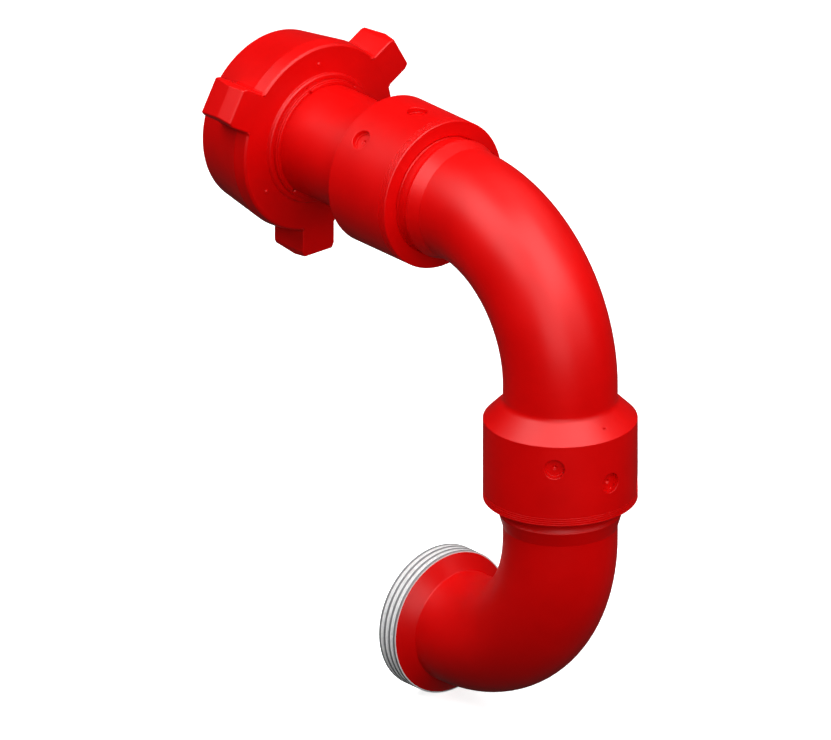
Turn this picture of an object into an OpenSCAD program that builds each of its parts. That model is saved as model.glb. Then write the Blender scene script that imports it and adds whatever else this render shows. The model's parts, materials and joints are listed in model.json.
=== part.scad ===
// High-pressure swivel joint: a wing-nut union sub, two ball-race swivels at right
// angles to each other, and two long-sweep elbows that end in a threaded union half.
// The run lies in the XZ plane. The origin is the middle of the union nose's face,
// +X runs with the flow into the joint, and +Z is up, away from the lower elbow.

/* [Pipe run] */
// Outside diameter of the pipe wall
pipe_od = 102.6; // [100:0.2:105]
// Diameter of the flow bore
flow_bore = 69.8; // [64:0.2:72]
// Centreline radius of both bends
bend_r = 132; // [120:1:160]
// Union nose face to the closed face of the upper housing
sub_length = 125; // [120:1:160]
// Plain pipe between the upper elbow's cone and its bend
upper_straight = 1.5; // [0.5:0.5:20]
// Plain pipe between the upper elbow's bend and the lower housing's shoulder
housing_straight = 10; // [2:0.2:14]
// Plain pipe between the lower elbow's cone and its bend
lower_straight = 11.4; // [0.5:0.1:30]

/* [Swivel housings] */
// Outside diameter of a swivel housing
housing_od = 138.2; // [136:0.2:146]
// Length of a housing's cylinder
housing_len = 77; // [76:0.5:90]
// Bore of the housing that runs on the male end
housing_bore = 108; // [106:0.5:110]
// Length of the conical shoulder on the lower housing
shoulder_len = 15.4; // [12:0.2:30]
// Diameter at which the conical shoulder leaves the pipe's fillet
shoulder_d = 107.4; // [105:0.2:114]
// Axial length of the concave fillet below the conical shoulder
shoulder_fillet = 5.8; // [3:0.2:9]
// Chamfer at a housing's open edge
housing_chamfer = 0.8; // [0.4:0.1:2]
// Number of fine turned grooves near the open edge
fine_groove_count = 4; // [1:1:4]
// Spacing of the fine turned grooves
fine_groove_pitch = 1.94; // [1.6:0.02:2.1]
// Depth of a fine turned groove
fine_groove_depth = 0.45; // [0.2:0.05:0.8]
// Width of a fine turned groove
fine_groove_w = 0.8; // [0.4:0.05:1]
// Open face to the middle of the first fine turned groove
fine_groove_start = 2.1; // [1.8:0.1:2.6]
// Chamfer at the mouth of a housing's bore
mouth_chamfer = 1.6; // [0.6:0.1:1.8]
// Innermost race to the floor of the housing's bore
last_land = 4.45; // [3:0.05:5]

/* [Male ends] */
// Running clearance on radius between male end and housing
run_clear = 0.06; // [0.03:0.01:0.1]
// Plain neck left bare outside the housing
neck_len = 8; // [6:0.5:10]
// Diameter of the bare neck
neck_d = 106.8; // [105:0.2:107.6]
// Diameter of the sharp edge where the neck flares out
flare_d = 110.6; // [109:0.2:114]
// Axial length of the concave flare
flare_len = 5.4; // [4:0.2:8]
// Chamfer at the tip of a male end
tip_chamfer = 2; // [1:0.1:2.4]
// Axial length of the cone from the flare's edge to the pipe
flare_cone = 13.3; // [8:0.1:16]

/* [Ball races] */
// Diameter of a ball
ball_d = 12.7; // [11:0.1:13]
// Clearance on radius between a ball and its race
ball_clear = 0.05; // [0.03:0.01:0.1]
// Open face to the middle of the outermost race
race_first = 15.5; // [14:0.1:16]
// Spacing of the three races
race_pitch = 20; // [18:0.1:21]
// Turn between one row's port and the next row's
port_turn = 45; // [40:1:60]
// Diameter of a ball port
port_d = 18.4; // [14.4:0.1:19]
// Depth of a port's plug below the housing's outside
plug_recess = 5.4; // [3:0.1:5.5]
// Clearance on radius between a plug and its port
plug_clear = 0.08; // [0.04:0.01:0.15]
// Diameter of the centre hole in a plug
plug_hole_d = 3.4; // [2:0.1:5]
// Depth of the centre hole in a plug
plug_hole_depth = 1.6; // [1:0.1:1.8]
// Thickness of the snap ring that keeps a plug in
plug_ring_t = 1.1; // [0.8:0.1:1.4]
// Depth of the snap ring's groove in the port's wall
plug_ring_groove = 0.6; // [0.4:0.1:1]
// Width of the snap ring that keeps a plug in
plug_ring_w = 2; // [1.4:0.1:2.2]
// Split in the snap ring that keeps a plug in
plug_ring_split = 4; // [2:0.5:6]
// Section diameter of a plug's round seal ring
plug_seal_d = 1.8; // [1.4:0.1:2]

/* [Swivel seals] */
// Outside diameter of the pressure seal's pocket
seal_od = 86; // [84:0.5:90]
// Length of the pressure seal
seal_len = 8; // [6:0.2:8.6]
// Thickness of the metal ring behind the pressure seal
backup_t = 1.4; // [1:0.1:2]
// Gap that parts the male end's face from the housing's floor
end_gap = 0.3; // [0.2:0.05:0.6]
// Width of the dust seal
dust_w = 2.4; // [2:0.1:2.6]
// Depth of the dust seal's groove in the housing bore
dust_depth = 2.4; // [2:0.1:3]
// Open face to the dust seal's groove
dust_start = 1.9; // [1.7:0.1:2]
// Diameter of the leak hole in the conical shoulder
leak_hole_d = 2; // [1:0.1:3]
// Axis to the leak hole's mouth on the conical shoulder
leak_hole_r = 60.4; // [57:0.2:66]

/* [Union nose] */
// Diameter of the nose's land, behind its round face
nose_d = 112; // [108:0.5:114]
// Radius of the ball-shaped face of the nose
nose_sphere_r = 90; // [85:1:100]
// Diameter of the flat ring around the bore on the nose
nose_flat_d = 76; // [74:0.5:80]
// Nose face to the groove that holds the segments
groove_start = 17.5; // [16:0.1:19]
// Width of the segments' groove
groove_w = 9; // [8:0.1:10]
// Chamfer on the nose's back edge, next to the segments' groove
nose_back_chamfer = 2; // [1:0.1:3]
// Depth of the segments' groove below the pipe's outside
groove_depth = 4.8; // [3:0.1:6]

/* [Wing nut] */
// Nut's mouth to the union nose's face
nut_lead = 33.6; // [32:0.1:36]
// Nut's mouth to its back face
nut_len = 65.8; // [65:0.1:72]
// Diameter of the nut at its mouth
nut_mouth_d = 161.4; // [158:0.2:170]
// Greatest diameter of the nut, where its chamfer begins
nut_od = 177; // [174:0.2:184]
// Diameter of the flat back face
nut_face_d = 170.4; // [166:0.2:171]
// Axial length of the chamfer that leads to the back face
nut_chamfer_len = 13.4; // [10:0.1:16]
// Diameter of the low hub around the nut's back bore
hub_d = 122; // [118:0.5:126]
// Height of the low hub
hub_h = 3; // [2:0.1:4]
// Diameter of the nut's back bore
nut_bore = 111.8; // [111:0.1:112.4]
// Width of a lug
lug_w = 36.5; // [32:0.5:40]
// Axis to the lug's outer face at the nut's back face
lug_face_r = 111.5; // [108:0.1:116]
// Axis to the lug's crest
lug_crest_r = 114.1; // [112:0.1:118]
// Axis to the lug's outer face at its front end
lug_front_r = 110.1; // [107:0.1:112]
// Back face to the lug's crest
lug_crest_x = 15.8; // [12:0.1:20]
// Length of a lug along the axis
lug_len = 40.3; // [36:0.1:46]
// Chamfer along a lug's edges
lug_edge = 1.6; // [0.8:0.1:2.4]
// Axis to the middle of a pip on the back face
pip_r = 70.8; // [68:0.1:74]
// Diameter of a pip
pip_d = 4.6; // [3:0.1:6]
// Union nose face to the end of the nut's thread, counted back from the face
thread_end_lead = 2.2; // [1.6:0.1:3]
// Width of the relief behind the nut's thread
nut_relief_w = 6; // [4:0.1:7]

/* [Retainer segments] */
// Clearance on radius between segments and sub
segment_clear = 0.05; // [0.03:0.01:0.1]
// Thickness of the segments' flange
segment_flange_w = 4.5; // [4:0.1:5]
// Diameter of the segments' flange
segment_flange_d = 125.6; // [122:0.2:126]
// Gap between two segments
segment_gap = 1.2; // [0.6:0.1:2]
// Length of the segments' tail past the nut's hub
segment_tail = 4.5; // [4:0.1:6]
// Width of the snap ring around the segments' tail
snap_ring_w = 3; // [2:0.1:3.2]
// Radial thickness of the snap ring around the segments' tail
snap_ring_t = 2.3; // [1.6:0.1:2.6]
// Split in the snap ring
snap_ring_split = 5; // [2:0.5:10]

/* [Union thread] */
// Crest diameter of the outlet's thread
thread_d = 132.6; // [132:0.2:133.4]
// Thread pitch
thread_pitch = 6.3; // [5.8:0.05:6.6]
// Thread depth
thread_depth = 3.2; // [2.8:0.1:3.3]
// Clearance on radius between the nut's thread and its mate
thread_clear = 0.3; // [0.2:0.05:0.4]
// Number of turns on the outlet's thread
thread_turns = 4; // [3:1:5]
// Number of turns in the nut
nut_turns = 4; // [3:1:4]
// Elbow's bend to the cone's fillet on the outlet end
outlet_straight = 7.5; // [4:0.1:12]
// Axial length of the fillet behind the outlet's cone
outlet_fillet = 2.8; // [2:0.1:4]
// Axial length of the outlet's cone
outlet_cone = 6.8; // [6:0.1:10]
// Diameter at which the outlet's cone leaves the fillet
outlet_cone_d = 106; // [105.6:0.2:110]
// Pocket diameter of the outlet's seal ring
outlet_seal_od = 86; // [84:0.5:90]
// Depth of the outlet's seal pocket
outlet_seal_depth = 12.5; // [10:0.1:14]
// Mouth diameter of the outlet's seat
outlet_mouth_d = 93; // [91:0.5:100]
// Depth of the outlet's seat
outlet_seat_depth = 2.5; // [1.5:0.1:3]

/* [Hidden] */
$fa = 4;
$fs = 1.2;
eps = 0.01;
// Length by which a cut runs past the body it is cut from
lap = 1;
// Gap on each side of a ring in its groove
ring_play = 0.1;
pipe_r = pipe_od / 2;
bore_r = flow_bore / 2;
housing_r = housing_od / 2;
housing_in_r = housing_bore / 2;
male_r = housing_in_r - run_clear;
neck_r = neck_d / 2;
flare_r = flare_d / 2;
ball_r = ball_d / 2;
race_r = ball_r + ball_clear;
race_rows = 3;
neck_total = neck_len + flare_len + flare_cone;

// Depths below a housing's open face
floor_depth = race_first + 2 * race_pitch + race_r + last_land;
male_depth = floor_depth - end_gap;
seal_clear = 0.1;
pocket_depth = floor_depth + seal_len + backup_t + seal_clear;
// Step from the male end's land down to the bare neck
land_end = 0.2;
neck_start = -0.8;

// Heights along a port, measured from the housing's axis
plug_top = housing_r - plug_recess;
plug_tip = housing_in_r + race_r / 2;
plug_tip_chamfer = 0.6;
plug_rim_chamfer = 0.3;
plug_rim = 1.1;
plug_r = port_d / 2 - plug_clear;
plug_seal_low = plug_top - plug_rim - plug_seal_d - 2 * ring_play;
plug_seal_high = plug_top - plug_rim;
ring_slot_low = plug_top;
ring_bottom = ring_slot_low + ring_play / 2;
ring_slot_high = ring_slot_low + plug_ring_t + ring_play;
// Turn from one plug's ring split to the next row's
plug_ring_turn = 20;

// Places along the run
upper_closed_x = sub_length;
upper_open_x = upper_closed_x + housing_len;
upper_bend_x = upper_open_x + neck_total + upper_straight;
drop_x = upper_bend_x + bend_r;
shoulder_top_z = -bend_r - housing_straight;
lower_closed_z = shoulder_top_z - shoulder_fillet - shoulder_len;
lower_open_z = lower_closed_z - housing_len;
lower_bend_z = lower_open_z - neck_total - lower_straight;
outlet_z = lower_bend_z - bend_r;
outlet_bend_x = drop_x - bend_r;

// Places along the union
nut_mouth_x = -nut_lead;
nut_back_x = nut_mouth_x + nut_len;
hub_x = nut_back_x + hub_h;
// Turns about the run's local axis, counted from -Z towards +Y
lug_angles = [0, 120, 240];
pip_angles = [60, 180, 300];
segment_angles = [78, 198, 318];
snap_ring_angle = 140;
groove_end = groove_start + groove_w;
groove_r = pipe_r - groove_depth;
segment_play = 0.1;
segment_tail_r = nut_bore / 2 - 0.08;
segment_flange_r = segment_flange_d / 2;
segment_x = groove_start + segment_play;
rib_end_x = groove_end - segment_play;
flange_x = segment_x + segment_flange_w;
flange_chamfer = 0.8;
segment_end_x = hub_x + segment_tail;
ring_seat_r = segment_tail_r - snap_ring_t;
ring_seat_x = hub_x + 0.3;
ring_seat_end_x = ring_seat_x + snap_ring_w + ring_play;
tail_lip = 1.1;
tail_lip_chamfer = 0.3;

// Thread form, a trapezoid with 29 degrees between its flanks
thread_flat = 0.37 * thread_pitch;
thread_flank = thread_depth * tan(14.5);
thread_lead = 1.3;
thread_end_land = 1.2;
thread_len = (thread_turns - 1) * thread_pitch + thread_flat + thread_flank
  + thread_lead * tan(14.5) + thread_end_land;
outlet_end = outlet_straight + outlet_fillet + outlet_cone + thread_len;
nut_minor_r = thread_d / 2 - thread_depth + thread_clear;
nut_major_r = thread_d / 2 + thread_clear;
nut_thread_end = -thread_end_lead;
nut_relief_x = nut_thread_end + nut_relief_w;
nut_mouth_flare = 1.6;
nut_edge = 1;
nut_back_edge = 1.8;
hub_edge = 1;
hub_draft = 0.8;
// Radius of the nut's cavity for the nose, and where its bearing cone starts
shoulder_r = nut_minor_r + 0.6;
shoulder_x = flange_x + segment_play * sqrt(2) - (shoulder_r - segment_flange_r);

// Depth of a row of balls below the open face: row 1 is next to the closed end
function row_depth(row) = race_first + (race_rows - row) * race_pitch;

// Turn of a row's port about the housing's axis, from the local +X
function port_angle(row) = (row - 2) * port_turn;

// Points of a concave quarter-like fillet that starts flat at r0 and rises to r1 over len
function fillet_points(r0, r1, s0, len, steps = 5) =
  let (rise = r1 - r0, arc_r = (rise * rise + len * len) / (2 * rise))
  [for (i = [0:steps]) let (s = len * i / steps) [r0 + arc_r - sqrt(arc_r * arc_r - s * s), s0 + s]];

// One trapezoidal ridge, or the gap of a groove, with its middle at s
function ridge(s, root_r, crest_r) = [
  [root_r, s - thread_flat / 2 - thread_flank], [crest_r, s - thread_flat / 2],
  [crest_r, s + thread_flat / 2], [root_r, s + thread_flat / 2 + thread_flank]
];

// Frame of the union and of the inlet run: local +Z lies along +X
module along_run() {
  rotate([0, 90, 0]) children();
}

// Frame of the upper swivel: origin in the open face, local +Z into the housing
module at_upper_swivel() {
  translate([upper_open_x, 0, 0]) rotate([0, -90, 0]) children();
}

// Frame of the lower swivel: origin in the open face, local +Z into the housing
module at_lower_swivel() {
  translate([drop_x, 0, lower_open_z]) children();
}

// Frame of the outlet: origin where the bend ends, local +Z towards the outlet's face
module at_outlet() {
  translate([outlet_bend_x, 0, outlet_z]) rotate([0, -90, 0]) children();
}

// A flat ring about local Z, from s0 to s1
module ring(r_in, r_out, s0, s1) {
  rotate_extrude() translate([r_in, s0]) square([r_out - r_in, s1 - s0]);
}

// Quarter of a round bar bent about local Z, from local +X to local +Y
module bend(r) {
  rotate_extrude(angle = 90) translate([bend_r, 0]) circle(r);
}

// The upper bend, from the run along +X down to the run along -Z
module upper_bend(r) {
  translate([upper_bend_x, 0, -bend_r]) rotate([90, 0, 0]) bend(r);
}

// The lower bend, from the run along -Z back to the run along -X
module lower_bend(r) {
  translate([outlet_bend_x, 0, lower_bend_z]) rotate([90, 0, 0]) rotate([0, 0, -90]) bend(r);
}

// The round channel that one row of balls runs in
module race(row) {
  rotate_extrude() translate([housing_in_r, row_depth(row)]) circle(race_r);
}

// Places what follows at a row's port, with local +Z pointing out of the port
module at_port(row) {
  translate([0, 0, row_depth(row)]) rotate([0, 0, port_angle(row)]) rotate([0, 90, 0]) children();
}

// Inside of a housing as one turned shape: mouth, dust seal's groove, bore and seal pocket
module housing_cavity() {
  mouth_r = housing_in_r + mouth_chamfer;
  dust_r = housing_in_r + dust_depth;
  dust_end = dust_start + dust_w + ring_play;
  rotate_extrude() polygon([
    [0, -lap], [mouth_r, -lap], [mouth_r, 0], [housing_in_r, mouth_chamfer],
    [housing_in_r, dust_start], [dust_r, dust_start], [dust_r, dust_end], [housing_in_r, dust_end],
    [housing_in_r, floor_depth], [seal_od / 2, floor_depth], [seal_od / 2, pocket_depth], [0, pocket_depth]
  ]);
}

// What is cut from a housing: its cavity, the races and the ports
module housing_cuts() {
  housing_cavity();
  for (row = [1:race_rows]) {
    race(row);
    at_port(row) translate([0, 0, housing_in_r - lap])
      cylinder(d = port_d, h = housing_r - housing_in_r + 2 * lap);
    at_port(row) translate([0, 0, ring_slot_low])
      cylinder(r = port_d / 2 + plug_ring_groove, h = ring_slot_high - ring_slot_low);
  }
}

// Outside of a housing from its open face up: chamfer and fine turned grooves
function housing_edge_points() = concat(
  [[0, 0], [housing_r - housing_chamfer, 0], [housing_r, housing_chamfer]],
  [for (i = [0:fine_groove_count - 1])
    let (s = fine_groove_start + i * fine_groove_pitch - fine_groove_w / 2)
    each [[housing_r, s], [housing_r - fine_groove_depth, s],
          [housing_r - fine_groove_depth, s + fine_groove_w], [housing_r, s + fine_groove_w]]]
);

// Outside of a housing that ends in a flat face on the closed side
module flat_housing_blank() {
  rotate_extrude() polygon(concat(housing_edge_points(), [
    [housing_r, housing_len - housing_chamfer], [housing_r - housing_chamfer, housing_len], [0, housing_len]
  ]));
}

// Outside of a housing that ends in a conical shoulder and a fillet down to the pipe
module shouldered_housing_blank() {
  cone_end = housing_len + shoulder_len;
  fillet = fillet_points(pipe_r, shoulder_d / 2, 0, shoulder_fillet);
  last = len(fillet) - 1;
  rotate_extrude() polygon(concat(
    housing_edge_points(), [[housing_r, housing_len]],
    [for (i = [0:last]) [fillet[last - i][0], cone_end + shoulder_fillet - fillet[last - i][1]]],
    [[0, cone_end + shoulder_fillet]]
  ));
}

// Outside of a male end: races' land, bare neck, concave flare and cone to the pipe
module male_blank(straight) {
  flare = fillet_points(neck_r, flare_r, neck_len, flare_len);
  rotate_extrude() polygon(concat(
    [[0, male_depth], [male_r - tip_chamfer, male_depth], [male_r, male_depth - tip_chamfer],
     [male_r, land_end], [neck_r, neck_start]],
    [for (p = flare) [p[0], -p[1]]],
    [[pipe_r, -neck_total], [pipe_r, -neck_total - straight], [0, -neck_total - straight]]
  ));
}

// What is cut from a male end: the races and the straight flow bore
module male_cuts(straight) {
  for (row = [1:race_rows]) race(row);
  translate([0, 0, -neck_total - straight])
    cylinder(r = bore_r, h = male_depth + neck_total + straight + lap);
}

module ball_row(row) {
  count = floor(180 / asin(ball_r / housing_in_r));
  for (i = [0:count - 1])
    rotate([0, 0, (i + 0.5) * 360 / count]) translate([housing_in_r, 0, row_depth(row)]) sphere(r = ball_r);
}

// Plug that closes a port: its tip completes the race, its waist holds the round seal
module ball_plug(row) {
  waist_r = plug_r - plug_seal_d - ring_play / 2;
  difference() {
    at_port(row) rotate_extrude() polygon([
      [0, plug_tip], [plug_r - plug_tip_chamfer, plug_tip], [plug_r, plug_tip + plug_tip_chamfer],
      [plug_r, plug_seal_low], [waist_r, plug_seal_low],
      [waist_r, plug_seal_high], [plug_r, plug_seal_high],
      [plug_r, plug_top - plug_rim_chamfer], [plug_r - plug_rim_chamfer, plug_top], [0, plug_top]
    ]);
    race(row);
    at_port(row) translate([0, 0, plug_top - plug_hole_depth])
      cylinder(d = plug_hole_d, h = plug_hole_depth + lap);
  }
}

// Split snap ring above a plug
module plug_ring(row) {
  ring_r = port_d / 2 + plug_ring_groove - ring_play;
  at_port(row) rotate([0, 0, plug_ring_turn * row]) difference() {
    ring(ring_r - plug_ring_w, ring_r, ring_bottom, ring_bottom + plug_ring_t);
    translate([ring_r, 0, ring_bottom])
      cube([2 * plug_ring_w + lap, plug_ring_split, 3 * plug_ring_t], center = true);
  }
}

module plug_seal(row) {
  at_port(row) rotate_extrude()
    translate([plug_r - plug_seal_d / 2, (plug_seal_low + plug_seal_high) / 2]) circle(d = plug_seal_d);
}

// Lipped pressure seal at the bottom of a housing, with its bore flush with the pipe's
module pressure_seal() {
  r_in = bore_r + seal_clear;
  r_out = seal_od / 2 - seal_clear;
  inner_lip = 2.4;
  outer_lip = 0.8;
  lip_slope = 0.9;
  lip_depth = 2.2;
  rotate_extrude() polygon([
    [r_in, floor_depth], [r_in + inner_lip, floor_depth],
    [r_in + inner_lip + lip_slope, floor_depth + lip_depth],
    [r_out - outer_lip - lip_slope, floor_depth + lip_depth], [r_out - outer_lip, floor_depth],
    [r_out, floor_depth], [r_out, floor_depth + seal_len], [r_in, floor_depth + seal_len]
  ]);
}

module backup_ring() {
  s0 = floor_depth + seal_len;
  ring(bore_r + seal_clear, seal_od / 2 - seal_clear, s0, s0 + backup_t);
}

// Dust seal with two lips on the male end
module dust_seal() {
  r_in = male_r + ring_play / 2;
  r_out = housing_in_r + dust_depth - ring_play;
  s0 = dust_start + ring_play / 2;
  s1 = s0 + dust_w;
  lip = 0.7;
  rotate_extrude() polygon([
    [r_in, s0], [r_out, s0], [r_out, s1], [r_in, s1],
    [r_in, s1 - lip], [r_in + lip, (s0 + s1) / 2], [r_in, s0 + lip]
  ]);
}

// Outside of the union nose, its segment groove and the pipe behind it
module nose_blank() {
  nose_r = nose_d / 2;
  flat_r = nose_flat_d / 2;
  flat_edge = 0.6;
  face_steps = 6;
  center_x = sqrt(nose_sphere_r * nose_sphere_r - flat_r * flat_r) + flat_edge;
  face = [for (i = [0:face_steps]) let (r = flat_r + (nose_r - flat_r) * i / face_steps)
    [r, center_x - sqrt(nose_sphere_r * nose_sphere_r - r * r)]];
  rotate_extrude() polygon(concat(
    [[0, 0], [flat_r - flat_edge, 0]],
    face,
    [[nose_r, groove_start - nose_back_chamfer], [nose_r - nose_back_chamfer, groove_start],
     [groove_r, groove_start], [groove_r, groove_end], [pipe_r, groove_end],
     [pipe_r, sub_length + lap], [0, sub_length + lap]]
  ));
}

module union_sub() {
  color("red") difference() {
    union() {
      along_run() nose_blank();
      at_upper_swivel() flat_housing_blank();
    }
    at_upper_swivel() housing_cuts();
    along_run() translate([0, 0, -lap]) cylinder(r = bore_r, h = upper_open_x + 2 * lap);
  }
}

// Leak hole, drilled from the conical shoulder down to the gap in front of the male end
module leak_hole() {
  top = housing_len + shoulder_len * (housing_r - leak_hole_r) / (housing_r - shoulder_d / 2);
  foot_r = male_r - 1.5 * leak_hole_d / 2;
  foot = floor_depth - 2 * end_gap;
  run = norm([leak_hole_r - foot_r, top - foot]);
  tilt = atan2(leak_hole_r - foot_r, top - foot);
  translate([foot_r, 0, foot]) rotate([0, tilt, 0]) cylinder(d = leak_hole_d, h = run + 3 * lap);
}

module upper_elbow() {
  color("red") difference() {
    union() {
      at_upper_swivel() male_blank(upper_straight);
      upper_bend(pipe_r);
      translate([drop_x, 0, shoulder_top_z]) cylinder(r = pipe_r, h = housing_straight);
      at_lower_swivel() shouldered_housing_blank();
    }
    at_upper_swivel() male_cuts(upper_straight);
    upper_bend(bore_r);
    translate([drop_x, 0, lower_open_z]) cylinder(r = bore_r, h = -bend_r - lower_open_z);
    at_lower_swivel() housing_cuts();
    at_lower_swivel() leak_hole();
  }
}

// Outside of the outlet's end: fillet, cone and thread, from the bend to the end face
module outlet_blank() {
  cone_start = outlet_straight + outlet_fillet;
  thread_start = cone_start + outlet_cone;
  crest_r = thread_d / 2;
  root_r = crest_r - thread_depth;
  end_chamfer = 1;
  last = outlet_end - thread_end_land - thread_flank - thread_flat / 2;
  ridges = [for (i = [thread_turns - 1:-1:0]) each ridge(last - i * thread_pitch, root_r, crest_r)];
  rotate_extrude() polygon(concat(
    [[0, 0], [pipe_r, 0]],
    fillet_points(pipe_r, outlet_cone_d / 2, outlet_straight, outlet_fillet),
    [[crest_r - thread_lead, thread_start]],
    [for (i = [1:len(ridges) - 1]) ridges[i]],
    [[root_r - end_chamfer, outlet_end], [0, outlet_end]]
  ));
}

module outlet_cuts() {
  seal_r = outlet_seal_od / 2;
  cylinder(r = bore_r, h = outlet_end + lap);
  translate([0, 0, outlet_end - outlet_seal_depth]) cylinder(r = seal_r, h = outlet_seal_depth + lap);
  translate([0, 0, outlet_end - outlet_seat_depth])
    cylinder(r1 = seal_r, r2 = outlet_mouth_d / 2, h = outlet_seat_depth + eps);
}

module lower_elbow() {
  color("red") difference() {
    union() {
      at_lower_swivel() male_blank(lower_straight);
      lower_bend(pipe_r);
      at_outlet() outlet_blank();
    }
    at_lower_swivel() male_cuts(lower_straight);
    lower_bend(bore_r);
    at_outlet() outlet_cuts();
  }
}

module outlet_seal_ring() {
  s0 = outlet_end - outlet_seal_depth;
  r_in = bore_r + seal_clear;
  r_out = outlet_seal_od / 2 - seal_clear;
  outer_top = outlet_end - 3.2;
  face_top = outlet_end - 4.4;
  face_low = outlet_end - 5.2;
  inner_top = outlet_end - 6.4;
  lip = 2.4;
  color("dimgray") at_outlet() rotate_extrude() polygon([
    [r_in, s0], [r_out, s0], [r_out, outer_top], [r_out - lip, face_top],
    [r_in + lip, face_low], [r_in, inner_top]
  ]);
}

// One lug, meant for the side of local +X: a side outline and a front outline in common
module lug() {
  lug_foot_r = nut_minor_r;
  front_x = nut_back_x - lug_len;
  shoulder = 2 * lug_edge;
  intersection() {
    translate([0, lug_w / 2, 0]) rotate([90, 0, 0]) linear_extrude(lug_w) polygon([
      [lug_foot_r, nut_back_x], [lug_face_r - lug_edge, nut_back_x], [lug_face_r, nut_back_x - lug_edge],
      [lug_crest_r, nut_back_x - lug_crest_x], [lug_front_r, front_x + lug_edge],
      [lug_front_r - lug_edge, front_x], [lug_foot_r, front_x]
    ]);
    translate([0, 0, front_x - lap]) linear_extrude(lug_len + 2 * lap) polygon([
      [lug_foot_r - lap, -lug_w / 2], [lug_front_r - shoulder, -lug_w / 2],
      [lug_crest_r, shoulder - lug_w / 2], [lug_crest_r, lug_w / 2 - shoulder],
      [lug_front_r - shoulder, lug_w / 2], [lug_foot_r - lap, lug_w / 2]
    ]);
  }
}

// Outside of the nut's turned body: mouth, long taper, chamfer, back face and low hub
module nut_blank() {
  nut_r = nut_od / 2;
  mouth_r = nut_mouth_d / 2;
  face_r = nut_face_d / 2;
  hub_r = hub_d / 2;
  rotate_extrude() polygon([
    [0, nut_mouth_x], [mouth_r - nut_edge, nut_mouth_x], [mouth_r, nut_mouth_x + nut_edge],
    [nut_r, nut_back_x - nut_chamfer_len], [face_r + nut_back_edge, nut_back_x - nut_back_edge],
    [face_r, nut_back_x], [hub_r, nut_back_x], [hub_r - hub_draft, hub_x - hub_edge],
    [hub_r - hub_draft - hub_edge, hub_x], [0, hub_x]
  ]);
}

// Inside of the nut: mouth flare, thread, relief, cavity, bearing cone and back bore
module nut_cavity() {
  mouth_r = nut_major_r + nut_mouth_flare;
  bearing_end_x = shoulder_x + shoulder_r - nut_bore / 2;
  last_mid = nut_thread_end - thread_pitch / 2;
  grooves = [for (i = [nut_turns - 1:-1:0])
    each ridge(last_mid - i * thread_pitch, nut_minor_r, nut_major_r)];
  rotate_extrude() polygon(concat(
    [[0, nut_mouth_x - lap], [mouth_r, nut_mouth_x - lap], [mouth_r, nut_mouth_x],
     [nut_minor_r, nut_mouth_x + mouth_r - nut_minor_r]],
    grooves,
    [[nut_minor_r, nut_thread_end], [nut_major_r, nut_thread_end + nut_mouth_flare],
     [nut_major_r, nut_relief_x], [shoulder_r, nut_relief_x + nut_mouth_flare],
     [shoulder_r, shoulder_x], [nut_bore / 2, bearing_end_x],
     [nut_bore / 2, hub_x + lap], [0, hub_x + lap]]
  ));
}

module wing_nut() {
  color("red") along_run() difference() {
    union() {
      nut_blank();
      for (a = lug_angles) rotate([0, 0, a]) lug();
      for (a = pip_angles) rotate([0, 0, a]) translate([pip_r, 0, nut_back_x - pip_d / 4]) sphere(d = pip_d);
    }
    nut_cavity();
  }
}

// Section of the split retainer: rib in the sub's groove, flange, bearing cone and grooved tail
module segment_section() {
  inner_r = pipe_r + segment_clear;
  rib_r = groove_r + segment_clear;
  cone_end_x = flange_x + segment_flange_r - segment_tail_r;
  polygon([
    [rib_r, segment_x], [segment_flange_r - flange_chamfer, segment_x],
    [segment_flange_r, segment_x + flange_chamfer], [segment_flange_r, flange_x],
    [segment_tail_r, cone_end_x], [segment_tail_r, ring_seat_x],
    [ring_seat_r, ring_seat_x], [ring_seat_r, ring_seat_end_x],
    [ring_seat_r + tail_lip, ring_seat_end_x], [ring_seat_r + tail_lip - tail_lip_chamfer, segment_end_x],
    [inner_r, segment_end_x], [inner_r, rib_end_x], [rib_r, rib_end_x]
  ]);
}

module nut_segment(i) {
  turn = asin(segment_gap / 2 / pipe_r);
  color("red") along_run() rotate([0, 0, segment_angles[i - 1] + turn])
    rotate_extrude(angle = 120 - 2 * turn) segment_section();
}

module segment_snap_ring() {
  turn = asin(snap_ring_split / 2 / ring_seat_r);
  r_in = ring_seat_r + ring_play / 4;
  color("gray") along_run() rotate([0, 0, snap_ring_angle + turn])
    rotate_extrude(angle = 360 - 2 * turn)
      translate([r_in, ring_seat_x + ring_play / 2]) square([snap_ring_t - ring_play, snap_ring_w]);
}

union_sub();
wing_nut();
nut_segment(1);  // nut_segment_1
nut_segment(2);  // nut_segment_2
nut_segment(3);  // nut_segment_3
segment_snap_ring();
upper_elbow();
lower_elbow();
for (row = [1:race_rows]) {
  color("silver") at_upper_swivel() ball_row(row);
  color("silver") at_lower_swivel() ball_row(row);
  color("gray") at_upper_swivel() ball_plug(row);
  color("gray") at_lower_swivel() ball_plug(row);
  color("silver") at_upper_swivel() plug_ring(row);  // upper_plug_rings
  color("silver") at_lower_swivel() plug_ring(row);  // lower_plug_rings
  color("black") at_upper_swivel() plug_seal(row);  // upper_plug_seals
  color("black") at_lower_swivel() plug_seal(row);  // lower_plug_seals
}
color("black") at_upper_swivel() pressure_seal();  // upper_pressure_seal
color("black") at_lower_swivel() pressure_seal();  // lower_pressure_seal
color("gold") at_upper_swivel() backup_ring();  // upper_backup_ring
color("gold") at_lower_swivel() backup_ring();  // lower_backup_ring
color("black") at_upper_swivel() dust_seal();  // upper_dust_seal
color("black") at_lower_swivel() dust_seal();  // lower_dust_seal
outlet_seal_ring();
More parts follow.
